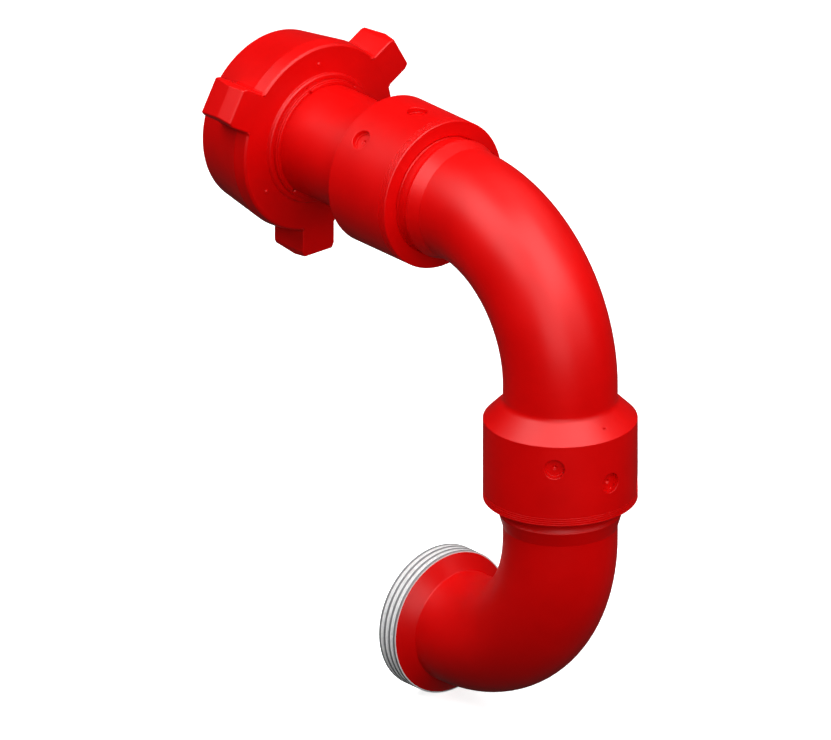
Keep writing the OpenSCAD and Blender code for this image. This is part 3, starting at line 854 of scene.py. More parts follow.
@dataclass
class SwivelSizes:
    """Sizes of a ball-race swivel in millimetres, the same as the solids', with the fine
    play and slopes that only show close up."""

    housing_r: float = 69.1
    housing_len: float = 77.0
    bore_r: float = 34.9
    run_r: float = 54.0
    male_r: float = 53.94
    male_chamfer: float = 2.0
    male_land: float = 0.2
    race_r: float = 6.4
    race_steps: int = 10
    first_race: float = 15.5
    race_pitch: float = 20.0
    floor: float = 66.35
    male_depth: float = 66.05
    pocket: float = 75.85
    seal_r: float = 43.0
    dust: Triple = (1.9, 4.4, 56.4)
    port_r: float = 9.2
    port_rim: float = 0.5
    rim_rows: int = 5
    port_rows: int = 24
    port_margin: float = 1.0
    foot_chamfer: float = 0.3
    port_turn: float = 45.0
    port_foot: float = 60.7
    plug_top: float = 63.7
    slot_w: float = 1.2
    slot_depth: float = 0.6
    pipe_r: float = 51.3
    neck_r: float = 53.4
    neck_start: float = -0.8
    neck_len: float = 8.0
    flare_r: float = 55.3
    flare_len: float = 5.4
    cone_len: float = 13.3
    mouth_chamfer: float = 1.6
    groove_first: float = 2.1
    groove_pitch: float = 1.94
    groove_half: float = 0.4
    groove_depth: float = 0.45
    groove_count: int = 4
    lean: float = 0.1
    edge: float = 0.8

    @property
    def neck_total(self) -> float:
        """Length from the open face to the plain pipe."""
        return self.neck_len + self.flare_len + self.cone_len

    @property
    def race_depths(self) -> Array:
        """Depth of each row of balls below the open face, row 1 deepest."""
        return self.first_race + self.race_pitch * np.array([2, 1, 0])

    @property
    def seams(self) -> Seams:
        """Seams of the housing's columns, one for each row's port, row 1 first."""
        return Seams((-self.port_turn, 0.0, self.port_turn))

    def ports(self, open_station: float) -> tuple[Hole, ...]:
        """Holes of the three ports, rims included, in a housing open at a station.

        Args:
            open_station: Station of the open face.

        Returns:
            The holes, row 1 first.
        """
        r = self.port_r + self.port_rim
        stations = open_station - self.race_depths
        r_min = self.housing_r - self.port_margin
        return tuple(Hole(i, s, r, r_min) for i, s in enumerate(stations))

    def port_frames(self, run: Run, open_station: float) -> list[Port]:
        """Frames of the three ports, row 1 first.

        Args:
            run: The line that the housing is turned on.
            open_station: Station of the open face.

        Returns:
            The frames.
        """
        centres, u, ahead = run.frames(open_station - self.race_depths)
        turn = np.radians(self.seams.angles)[:, None]
        v = np.array((0.0, 1.0, 0.0))
        out = np.cos(turn) * u + np.sin(turn) * v
        side = np.cos(turn) * v - np.sin(turn) * u
        return [Port(*parts) for parts in zip(centres, out, side, ahead)]

    def housing_rows(self) -> Array:
        """Rows of a housing's outside towards the open face, by depth, with the grooves.

        Returns:
            Rows of radius, depth and corner radius.
        """
        r, low, out = self.housing_r, self.housing_r - self.groove_depth, []
        for i in range(self.groove_count - 1, -1, -1):
            mid = self.groove_first + i * self.groove_pitch
            a, b = mid + self.groove_half, mid - self.groove_half
            foot_a, foot_b = a - self.lean, b + self.lean
            out += [(r, a, FINE), (low, foot_a, FINE), (low, foot_b, FINE), (r, b, FINE)]
        return rows(out, [(r, self.edge, NEAT), (r - self.edge, 0.0, NEAT)])

    def cavity_rows(self) -> Array:
        """Rows of a housing's inside from the open face to the flow bore, by depth.

        Returns:
            Rows of radius, depth and corner radius.
        """
        d0, d1, dust_r = self.dust
        mouth = [
            (self.run_r + self.mouth_chamfer, 0.0, CRISP), (self.run_r, self.mouth_chamfer, KEEN),
            (self.run_r, d0, KEEN), (dust_r, d0, KEEN), (dust_r, d1, KEEN), (self.run_r, d1, KEEN),
        ]
        depths = self.race_depths[::-1]
        centres = [(self.run_r, depth) for depth in depths]
        races = [arc_rows(c, self.race_r, -90, 90, self.race_steps) for c in centres]
        end = [
            (self.run_r, self.floor, CRISP), (self.seal_r, self.floor, CUT),
            (self.seal_r, self.pocket, CRISP), (self.bore_r, self.pocket, CUT),
        ]
        return rows(mouth, *races, end)

    def housing(self, open_station: float) -> Array:
        """Rows of a housing, outside and inside, whose open face is at a station.

        Args:
            open_station: Station of the open face.

        Returns:
            Rows of radius, station and corner radius.
        """
        housing = rows(self.housing_rows(), self.cavity_rows())
        housing[:, 1] = open_station - housing[:, 1]
        return housing

    def male(self, straight: float) -> Array:
        """Rows of a male end whose neck ends at a plain straight before station 0.

        Args:
            straight: Length of the plain straight in mm.

        Returns:
            Rows of radius, station and corner radius.
        """
        male = self.male_rows()
        male[:, 1] = -(self.neck_total + straight) - male[:, 1]
        return male

    def male_rows(self) -> Array:
        """Rows of a male end from its bore at the tip out to the plain pipe, by depth.

        Returns:
            Rows of radius, depth and corner radius.
        """
        chamfer = self.male_chamfer
        tip = [
            (self.bore_r, self.male_depth, EASED), (self.male_r - chamfer, self.male_depth, CUT),
            (self.male_r, self.male_depth - chamfer, CUT),
        ]
        race_r = self.race_r - self.run_r + self.male_r
        centres = [(self.male_r, depth) for depth in self.race_depths]
        races = [arc_rows(c, race_r, 90, 270, self.race_steps) for c in centres]
        neck = [(self.male_r, self.male_land, CRISP), (self.neck_r, self.neck_start, CUT)]
        flare = concave_rows(self.neck_r, self.flare_r, -self.neck_len, -self.flare_len)
        flare[-1, 2] = EASED
        return rows(tip, *races, neck, flare, [(self.pipe_r, -self.neck_total, SWEPT)])

    def port_wall(self, skin: Skin, edge: Array, port: Port) -> None:
        """Adds a port's rounded rim, wall, ring slot and floor inside its hole. On the rim,
        with the turn b from 0 to 90 degrees, the radius is port_r + rim*(1 - sin(b)) and
        the point lies rim*(1 - cos(b)) below the outside.

        Args:
            skin: Where they go.
            edge: Point numbers round the hole.
            port: The port's frame.
        """
        local = np.vstack(skin.points)[edge] - port.centre
        x, y, h = local @ port.side, local @ port.ahead, local @ port.out
        size = np.hypot(x, y)
        cos, sin, row_r = x / size, y / size, np.hypot(h, x)
        b = np.radians(np.linspace(0, 90, self.rim_rows)[1:])[:, None]
        rim = self.port_r + self.port_rim * (1 - np.sin(b))
        rim_h = np.sqrt(row_r**2 - (rim * cos) ** 2) - self.port_rim * (1 - np.cos(b))
        slot_top, r, foot = self.plug_top + self.slot_w, self.port_r, self.foot_chamfer
        wall = np.array([
            (r, slot_top + self.lean), (r + self.slot_depth, slot_top),
            (r + self.slot_depth, self.plug_top), (r, self.plug_top - self.lean),
            (r, self.port_foot + foot), (r - foot, self.port_foot),
        ])[:, :, None]
        radii = np.concatenate([rim + 0 * cos, wall[:, 0] + 0 * cos])
        heights = np.concatenate([rim_h, wall[:, 1] + 0 * cos])
        grid = skin.put(port.place(radii * cos, radii * sin, heights))
        skin.weave(np.vstack([edge[None, :], grid]))
        skin.cap(grid[-1])


# The assemblies


@dataclass
class Assembly:
    """Pieces that belong together, with the object's finishes."""

    finishes: Finishes

    def painted(self, skin: Skin, name: str, body: str, node: str, *bare: Material) -> None:
        """Makes an enamelled piece that stands for one of the solids.

        Args:
            skin: The piece's surface.
            name: Its name.
            body: The body that it rides on.
            node: The node that it stands for.
            bare: The finish of its unpainted faces, where it has any.
        """
        obj = skin.build(name, self.finishes.enamel, *bare)
        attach(obj, body)
        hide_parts(node)
        LOG.info("%s rides on %s and stands for %s", name, body, node)


@dataclass
class UnionSub(Assembly):
    """Union nose, pipe and upper housing, one forging turned about the inlet's axis."""

    swivel: SwivelSizes = field(default_factory=SwivelSizes)
    run: Run = field(default_factory=Run)
    length: float = 125.0
    nose_r: float = 56.0
    flat_r: float = 38.0
    flat_edge: float = 0.6
    sphere_r: float = 90.0
    nose_rows: int = 9
    groove: Triple = (17.5, 26.5, 46.5)
    back_chamfer: float = 2.0

    @property
    def open_station(self) -> float:
        """Place of the housing's open face along X."""
        return self.length + self.swivel.housing_len

    def profile(self) -> Array:
        """Rows (radius, X) round the whole section, closed. The nose's face is part of a
        ball: x = middle - sqrt(sphere_r^2 - r^2).

        Returns:
            The rows, rounded.
        """
        s = self.swivel
        middle = math.sqrt(self.sphere_r**2 - self.flat_r**2) + self.flat_edge
        r = np.linspace(self.flat_r, self.nose_r, self.nose_rows)
        face = np.column_stack((r, middle - np.sqrt(self.sphere_r**2 - r**2), 0 * r))
        g0, g1, gr = self.groove
        nose = [
            (self.nose_r, g0 - self.back_chamfer, SOFT),
            (self.nose_r - self.back_chamfer, g0, EASED), (gr, g0, EASED), (gr, g1, EASED),
            (s.pipe_r, g1, EASED), (s.pipe_r, self.length / 2, PLAIN),
            (s.pipe_r, self.length, SOFT), (s.housing_r - s.edge, self.length, CUT),
            (s.housing_r, self.length + s.edge, CUT),
        ]
        start = [
            (s.bore_r, self.length / 2, PLAIN), (s.bore_r, 0.0, EASED),
            (self.flat_r - self.flat_edge, 0.0, CUT),
        ]
        return rounded(rows(start, face, nose, s.housing(self.open_station)))

    def build(self) -> None:
        """Builds the forging with its ports."""
        skin = drilled(self, self.profile(), self.swivel.ports(self.open_station))
        self.painted(skin, "union_sub_forging", "inlet", "union_sub")


@dataclass
class UpperElbow(Assembly):
    """Male end, long-sweep bend and shouldered lower housing, one forging."""

    swivel: SwivelSizes = field(default_factory=SwivelSizes)
    open_x: float = 202.0
    straight: float = 1.5
    housing_straight: float = 10.0
    shoulder_len: float = 15.4
    shoulder_r: float = 53.7
    fillet_len: float = 5.8
    leak_r: float = 1.0
    leak_rows: int = 8
    leak_at: float = 60.4
    leak_deep: float = 4.0
    leak_lean: tuple[float, float] = (0.371, -0.929)

    @property
    def run(self) -> Run:
        """The elbow's centreline."""
        return Run((self.open_x + self.swivel.neck_total + self.straight, 0.0, 0.0), bends=True)

    @property
    def open_station(self) -> float:
        """Station of the lower housing's open face."""
        above = self.housing_straight + self.fillet_len + self.shoulder_len
        return self.run.bend_len + above + self.swivel.housing_len

    @property
    def leak(self) -> Hole:
        """The leak hole's mouth in the conical shoulder, which rises at 45 degrees.

        Returns:
            The hole.
        """
        s = self.swivel
        top = self.open_station - s.housing_len - (s.housing_r - self.leak_at)
        return Hole(1, top, self.leak_r, s.pipe_r, math.sqrt(2))

    def profile(self) -> Array:
        """Rows (radius, station) round the whole section, closed.

        Returns:
            The rows, rounded.
        """
        s, run = self.swivel, self.run
        start = run.bend_len + self.housing_straight
        shoulder = concave_rows(s.pipe_r, self.shoulder_r, start, self.fillet_len)
        corner = [(s.housing_r, self.open_station - s.housing_len, ROUND)]
        bend, inner = run.bend_rows(s.pipe_r), run.bend_rows(s.bore_r)[::-1]
        male, housing = s.male(self.straight), s.housing(self.open_station)
        return rounded(rows(male, bend, shoulder, corner, housing, inner))

    def build(self) -> None:
        """Builds the forging with its ports and its leak hole."""
        ports = self.swivel.ports(self.open_station)
        skin = drilled(self, self.profile(), ports, self.leak)
        self.painted(skin, "upper_elbow_forging", "upper", "upper_elbow")


def drilled(
    part: UnionSub | UpperElbow,
    profile: Array,
    ports: tuple[Hole, ...],
    leak: Hole | None = None,
) -> Skin:
    """Sweeps a forging's section and opens its ports, and the leak hole where it has one.

    Args:
        part: The forging.
        profile: Its section.
        ports: Its ports, row 1 first.
        leak: The leak hole, a short blind tube along leak_lean.

    Returns:
        The forging's skin.
    """
    size, holes = part.swivel, (*ports, leak) if leak else ports
    for hole in holes:
        steps = size.port_rows if hole in ports else part.leak_rows
        profile = with_levels(profile, hole.levels(steps), hole.r_min)
    seams, skin = size.seams, Skin()
    index = skin.put(part.run.sweep(profile, seams.grid(profile, holes)))
    skin.weave(index, closed_rows=True, keep=seams.keep())
    for hole, port in zip(ports, size.port_frames(part.run, part.open_station)):
        size.port_wall(skin, seams.edge(index, profile, hole), port)
    if leak:
        edge = seams.edge(index, profile, leak)
        _, u, ahead = part.run.frames(np.array([leak.station]))
        inwards = -part.leak_lean[0] * u - part.leak_lean[1] * ahead
        foot = skin.put(np.vstack(skin.points)[edge][None] + part.leak_deep * inwards)
        skin.weave(np.vstack([edge[None, :], foot]))
        skin.cap(foot[0])
    return skin


@dataclass
class LowerElbow(Assembly):
    """Male end, long-sweep bend and threaded union half, one forging, its thread bare. The
    cone behind the thread leans 49 degrees, as in the photograph, where the solid's has 60."""

    swivel: SwivelSizes = field(default_factory=SwivelSizes)
    drop_x: float = 362.2
    open_z: float = -240.2
    straight: float = 11.4
    outlet_straight: float = 5.5
    fillet_len: float = 1.6
    cone_len: float = 10.0
    cone_r: float = 53.6
    crest_r: float = 66.3
    depth: float = 3.2
    pitch: float = 6.3
    turns: int = 4
    lead: float = 1.3
    end_land: float = 1.2
    end_chamfer: float = 1.0
    seal_r: float = 43.0
    seal_depth: float = 12.5
    seat_r: float = 46.5
    seat_depth: float = 2.5
    wall_margin: float = 0.1
    columns: int = 192

    @property
    def run(self) -> Run:
        """The elbow's centreline."""
        start = self.open_z - self.swivel.neck_total - self.straight
        return Run((self.drop_x, 0.0, start), (0.0, 0.0, -1.0), (1.0, 0.0, 0.0), bends=True)

    @property
    def flank(self) -> float:
        """Axial length of a thread flank."""
        return self.depth * THREAD_SLOPE

    @property
    def flat(self) -> float:
        """Axial length of a thread crest."""
        return CREST_SHARE * self.pitch

    @property
    def bare_from(self) -> float:
        """Station where the bare thread starts."""
        before = self.outlet_straight + self.fillet_len + self.cone_len
        return self.run.bend_len + before

    @property
    def end_station(self) -> float:
        """Station of the outlet's end face."""
        ridges = (self.turns - 1) * self.pitch + self.flat + self.flank
        return self.bare_from + ridges + self.lead * THREAD_SLOPE + self.end_land

    def thread_rows(self) -> Array:
        """Rows of the ridges, from the cone's edge to the end face.

        Returns:
            Rows of radius, station and corner radius.
        """
        root, end = self.crest_r - self.depth, self.end_station
        last = end - self.end_land - self.flank - self.flat / 2
        out = []
        for i in range(self.turns - 1, -1, -1):
            mid = last - i * self.pitch
            a, b = mid - self.flat / 2, mid + self.flat / 2
            out += [
                (root, a - self.flank, CUT), (self.crest_r, a, NEAT),
                (self.crest_r, b, NEAT), (root, b + self.flank, CUT),
            ]
        chamfer = self.end_chamfer
        return rows(out[1:], [(root, end - chamfer, CRISP), (root - chamfer, end, CRISP)])

    def profile(self) -> Array:
        """Rows (radius, station) round the whole section, closed.

        Returns:
            The rows, rounded.
        """
        s, run, end = self.swivel, self.run, self.end_station
        start = run.bend_len + self.outlet_straight
        fillet = concave_rows(s.pipe_r, self.cone_r, start, self.fillet_len)
        cone = [(self.crest_r - self.lead, self.bare_from, CUT)]
        seat = [
            (self.seat_r, end, CUT), (self.seal_r, end - self.seat_depth, CUT),
            (self.seal_r, end - self.seal_depth, CUT), (s.bore_r, end - self.seal_depth, CUT),
        ]
        outer, inner = run.bend_rows(s.pipe_r), run.bend_rows(s.bore_r)[::-1]
        male, thread = s.male(self.straight), self.thread_rows()
        return rounded(rows(male, outer, fillet, cone, thread, seat, inner))

    def build(self) -> None:
        """Builds the forging, with bare steel from the thread to the seat."""
        profile, skin = self.profile(), Skin()
        index = skin.put(self.run.sweep(profile, whole_turn(self.columns)))
        r, station = ((profile + np.roll(profile, -1, 0)) / 2).T
        in_bore = r < self.swivel.bore_r + self.wall_margin
        in_pipe = in_bore & (station < self.end_station - self.seal_depth)
        bare = (station > self.bare_from) & ~in_pipe
        skin.weave(index, closed_rows=True, slots=bare.astype(int))
        bare_steel = self.finishes.thread
        self.painted(skin, "lower_elbow_forging", "lower", "lower_elbow", bare_steel)


@dataclass
class WingNut(Assembly):
    """Turned nut body with its inner thread, three lugs and three pips."""

    run: Run = field(default_factory=Run)
    mouth_x: float = -33.6
    back_x: float = 32.2
    hub_x: float = 35.2
    mouth_r: float = 80.7
    mouth_edge: float = 0.7
    outer_r: float = 88.5
    face_r: float = 85.2
    chamfer_len: float = 13.4
    back_edge: float = 1.8
    hub_r: float = 61.0
    hub_edge: float = 1.0
    hub_lean: float = 0.8
    bore_r: float = 55.9
    minor_r: float = 63.4
    major_r: float = 66.6
    thread_end: float = -2.2
    pitch: float = 6.3
    turns: int = 4
    relief_x: float = 3.8
    shoulder_r: float = 64.0
    shoulder_x: float = 21.04
    flare: float = 1.6
    columns: int = 216
    bare_margin: float = 0.5
    lug_angles: tuple[float, ...] = (0.0, 120.0, 240.0)
    pip_angles: tuple[float, ...] = (60.0, 180.0, 300.0)
    lug_w: float = 36.5
    lug_len: float = 40.3
    lug_face_r: float = 111.5
    lug_crest_r: float = 114.1
    lug_front_r: float = 110.1
    lug_crest: float = 15.8
    crest_half: float = 0.5
    crest_drop: float = 0.04
    lug_rows: tuple[int, int] = (8, 5)
    lug_columns: int = 9
    edge_rows: int = 5
    lug_side: tuple[float, float] = (3.2, 7.2)
    lug_edge: float = 1.5
    lug_fillet: float = 2.4
    fillet_rows: int = 7
    fillet_short: float = 0.05
    fillet_in: float = 0.8
    fillet_down: float = 1.2
    side_steps: int = 24
    front_steps: int = 20
    lug_sunk: float = 0.3
    proud: float = 0.02
    pip_r: float = 70.8
    pip_size: float = 2.3
    pip_turn: tuple[float, float] = (10.0, 84.0)
    pip_rows: int = 9
    pip_columns: int = 24

    def profile(self) -> Array:
        """Rows (radius, X) round the whole section, closed.

        Returns:
            The rows, rounded.
        """
        back, hub, edge, flare = self.back_x, self.hub_x, self.back_edge, self.flare
        outside = [
            (self.mouth_r - self.mouth_edge, self.mouth_x, ROUND),
            (self.mouth_r, self.mouth_x + self.mouth_edge, ROUND),
            (self.outer_r, back - self.chamfer_len, TAPER),
            (self.face_r + edge, back - edge, RIM), (self.face_r, back, RIM),
            (self.hub_r, back, SOFT),
            (self.hub_r - self.hub_lean, hub - self.hub_edge, FORGED),
            (self.hub_r - self.hub_lean - self.hub_edge, hub, FORGED),
            (self.bore_r, hub, CUT),
        ]
        bearing = self.shoulder_x + self.shoulder_r - self.bore_r
        inside = [
            (self.bore_r, bearing, EASED), (self.shoulder_r, self.shoulder_x, EASED),
            (self.shoulder_r, self.relief_x + flare, CUT), (self.major_r, self.relief_x, CUT),
            (self.major_r, self.thread_end + flare, CUT), (self.minor_r, self.thread_end, CRISP),
        ]
        flat, flank = CREST_SHARE * self.pitch, (self.major_r - self.minor_r) * THREAD_SLOPE
        for i in range(self.turns):
            mid = self.thread_end - self.pitch / 2 - i * self.pitch
            a, b = mid + flat / 2, mid - flat / 2
            inside += [
                (self.minor_r, a + flank, CRISP), (self.major_r, a, CRISP),
                (self.major_r, b, CRISP), (self.minor_r, b - flank, CRISP),
            ]
        mouth_r = self.major_r + flare
        start = self.mouth_x + mouth_r - self.minor_r
        mouth = [(self.minor_r, start, CUT), (mouth_r, self.mouth_x, EASED)]
        return rounded(rows(outside, inside, mouth))

    def body_r(self, x: Array) -> Array:
        """Radius of the turned body's outside at each X: taper, chamfer and back edge.

        Args:
            x: Places along X.

        Returns:
            One radius for each place.
        """
        chamfer, edge = self.back_x - self.chamfer_len, self.back_x - self.back_edge
        places = [self.mouth_x, chamfer, edge, self.back_x]
        radii = [self.mouth_r, self.outer_r, self.face_r + self.back_edge, self.face_r]
        return np.interp(x, places, radii)

    def put(self, skin: Skin, x: Array, y: Array, h: Array, angle: float) -> Array:
        """Adds points given in a lug's own frame.

        Args:
            skin: Where they go.
            x: Places along X.
            y: Places across the lug.
            h: Heights from the nut's axis along the lug.
            angle: The lug's turn in degrees, from -Z towards +Y.

        Returns:
            The points' numbers.
        """
        c, s = math.cos(math.radians(angle)), math.sin(math.radians(angle))
        return skin.put(np.stack([x, h * s + y * c, -h * c + y * s], -1))

    def lug(self, skin: Skin, angle: float) -> None:
        """Adds one lug as a stack of sections along X. A section has sides at +-w/2 up to
        the bevel, the bevel up to the top, and a foot that follows the body's arc below
        its surface: h = sqrt((body - sunk)^2 - y^2). At both ends the outside is drawn in
        by e*(1 - sin(b)) over e*(1 - cos(b)), a quarter round.

        Args:
            skin: Where it goes.
            angle: The lug's turn in degrees.
        """
        e, (bevel_w, bevel_h) = self.lug_edge, self.lug_side
        x0, x1 = self.back_x - self.lug_len, self.back_x + self.proud
        b = np.radians(np.linspace(0, 90, self.edge_rows))
        crest = self.back_x - self.lug_crest
        ahead, behind = crest - self.crest_half, crest + self.crest_half
        first = np.linspace(x0 + e, ahead, self.lug_rows[0])[1:]
        middle = np.concatenate([first, np.linspace(behind, x1 - e, self.lug_rows[1])[:-1]])
        inwards, in_by = e * (1 - np.cos(b)), e * (1 - np.sin(b))
        x = np.concatenate([x0 + inwards, middle, x1 - inwards[::-1]])
        inset = np.concatenate([in_by, 0 * middle, in_by[::-1]])
        places = [x0, ahead, behind, self.back_x]
        near_crest = self.lug_crest_r - self.crest_drop
        tops = [self.lug_front_r, near_crest, near_crest, self.lug_face_r]
        top = np.interp(x, places, tops) - inset
        half = self.lug_w / 2 - inset
        knee = np.full_like(x, self.lug_crest_r - bevel_h) - inset
        reach = half - bevel_w * (top - knee) / bevel_h
        across = np.linspace(-1, 1, self.lug_columns)[None, :] * half[:, None]
        arc = (self.body_r(x) - self.lug_sunk)[:, None]
        foot = np.stack([across, np.sqrt(arc**2 - across**2)], -1)
        upper = np.stack([
            np.stack([half, knee], -1), np.stack([reach, top], -1),
            np.stack([-reach, top], -1), np.stack([-half, knee], -1),
        ], 1)
        radii = np.array([PLAIN] * self.lug_columns + [e, e, e, e])
        section = soften(np.concatenate([foot, upper], 1), radii)
        places_x = np.repeat(x[:, None], section.shape[1], 1)
        index = self.put(skin, places_x, section[..., 0], section[..., 1], angle)
        skin.tube(index)

    def foot(self, skin: Skin, angle: float) -> None:
        """Adds the fillet at a lug's foot. Its line runs along one side, round the front
        and back along the other; its section is f*(1 - sin(a)) out from the wall and
        f*(1 - cos(a)) up from the body, closed below the surface.

        Args:
            skin: Where it goes.
            angle: The lug's turn in degrees.
        """
        f, w, c = self.lug_fillet, self.lug_w / 2, self.lug_edge
        x0, x1 = self.back_x - self.lug_len, self.back_x - self.fillet_short
        side = np.linspace(x1, x0 + c, self.side_steps)
        a = np.radians(np.linspace(0, 90, self.fillet_rows))
        turn = a[1:-1]
        across = np.linspace(-w + c, w - c, self.front_steps)
        one, front = np.ones((self.side_steps, 1)), np.full(self.front_steps, x0)
        line = np.vstack([
            np.column_stack([side, -w * one]),
            np.column_stack([x0 + c * (1 - np.sin(turn)), -w + c * (1 - np.cos(turn))]),
            np.column_stack([front, across]),
            np.column_stack([x0 + c * (1 - np.cos(turn)), w - c * (1 - np.sin(turn))]),
            np.column_stack([side[::-1], w * one]),
        ])
        away = np.vstack([
            one * (0.0, -1.0), np.column_stack([-np.sin(turn), -np.cos(turn)]),
            np.tile((-1.0, 0.0), (len(front), 1)),
            np.column_stack([-np.cos(turn), np.sin(turn)]),
            one * (0.0, 1.0),
        ])
        under, low = -self.fillet_in, -self.fillet_down
        out = np.concatenate([f * (1 - np.sin(a)), [under, under, f]])[:, None]
        up = np.concatenate([f * (1 - np.cos(a)), [f, low, low]])[:, None]
        x, y = line[:, 0] + out * away[:, 0], line[:, 1] + out * away[:, 1]
        h = np.sqrt(self.body_r(x) ** 2 - y**2) + up
        index = self.put(skin, x, y, h, angle)
        skin.tube(index, rings_are_columns=True)

    def pip(self, skin: Skin, angle: float) -> None:
        """Adds one pip on the back face, part of a ball: x = middle + size*sin(b), radius =
        size*cos(b), closed below the face.

        Args:
            skin: Where it goes.
            angle: The pip's turn in degrees.
        """
        b = np.radians(np.linspace(*self.pip_turn, self.pip_rows))[:, None]
        t = whole_turn(self.pip_columns)
        r = self.pip_size * np.cos(b)
        x = self.back_x - self.pip_size / 2 + self.pip_size * np.sin(b) + 0 * t
        index = self.put(skin, x, r * np.cos(t), self.pip_r + r * np.sin(t), angle)
        skin.tube(index)

    def build(self) -> None:
        """Builds the nut, with bare steel on its inner thread."""
        profile, skin = self.profile(), Skin()
        index = skin.put(self.run.sweep(profile, whole_turn(self.columns)))
        r, x = ((profile + np.roll(profile, -1, 0)) / 2).T
        bare = (r < self.major_r + self.bare_margin) & (x < self.relief_x)
        skin.weave(index, closed_rows=True, slots=bare.astype(int))
        for angle in self.lug_angles:
            self.lug(skin, angle)
            self.foot(skin, angle)
        for angle in self.pip_angles:
            self.pip(skin, angle)
        self.painted(skin, "wing_nut_forging", "nut", "wing_nut", self.finishes.nut_thread)


@dataclass
class Retainer(Assembly):
    """Three split segments in the sub's groove and the snap ring round their tail."""

    run: Run = field(default_factory=Run)
    gaps: tuple[float, ...] = (102.0, -18.0, -138.0)
    gap: float = 1.2
    rib: Triple = (17.6, 26.4, 46.55)
    flange_r: float = 62.8
    flange_edge: float = 0.8
    flange_x: float = 22.1
    tail_r: float = 55.82
    inner_r: float = 51.35
    ring_x: float = 35.5
    ring_w: float = 3.0
    ring_t: float = 2.3
    ring_play: float = 0.1
    ring_lift: float = 0.03
    lip: float = 1.1
    tail_taper: float = 0.3
    end_x: float = 39.7
    split: float = 40.0
    split_w: float = 5.0
    column_step: float = 2.0

    def segment_profile(self) -> Array:
        """Rows (radius, X) of a segment's section, closed.

        Returns:
            The rows, rounded.
        """
        seat, lip = self.tail_r - self.ring_t, self.lip
        x0, x1, rib_r = self.rib
        back = self.ring_x + self.ring_w + self.ring_play
        cone_end, edge = self.flange_x + self.flange_r - self.tail_r, self.flange_edge
        return rounded(rows([
            (rib_r, x0, CUT), (self.flange_r - edge, x0, CUT), (self.flange_r, x0 + edge, CUT),
            (self.flange_r, self.flange_x, EASED), (self.tail_r, cone_end, EASED),
            (self.tail_r, self.ring_x, CRISP), (seat, self.ring_x, CRISP), (seat, back, CRISP),
            (seat + lip, back, CUT), (seat + lip - self.tail_taper, self.end_x, SOFT),
            (self.inner_r, self.end_x, CUT), (self.inner_r, x1, CRISP), (rib_r, x1, CUT),
        ]), 2)

    def arc(self, profile: Array, start: float, end: float) -> Skin:
        """Turns a closed section part of the way round the inlet's axis.

        Args:
            profile: Rows of radius and X.
            start: First angle in degrees, from +Z towards +Y.
            end: Last angle in degrees.

        Returns:
            The closed surface.
        """
        phis = np.linspace(start, end, round((end - start) / self.column_step) + 1)
        skin = Skin()
        skin.tube(skin.put(self.run.sweep(profile, np.radians(phis))), rings_are_columns=True)
        return skin

    def build(self) -> None:
        """Builds the segments and the snap ring."""
        half = math.degrees(math.asin(self.gap / 2 / self.inner_r))
        section, share = self.segment_profile(), 360 / len(self.gaps)
        for i, gap in enumerate(self.gaps, 1):
            skin = self.arc(section, gap - share + half, gap - half)
            self.painted(skin, f"retainer_segment_{i}", "retainer", f"nut_segment_{i}")
        inner = self.tail_r - self.ring_t + self.ring_lift
        outer = inner + self.ring_t - self.ring_play
        x0 = self.ring_x + self.ring_play / 2
        x1 = x0 + self.ring_w
        section = rounded(rows([
            (inner, x0, CRISP), (outer, x0, EASED), (outer, x1, WORN), (inner, x1, CUT)
        ]))
        cut = math.degrees(self.split_w / 2 / inner)
        skin = self.arc(section, self.split + cut, self.split + 360 - cut)
        self.painted(skin, "retainer_snap_ring", "retainer", "segment_snap_ring")


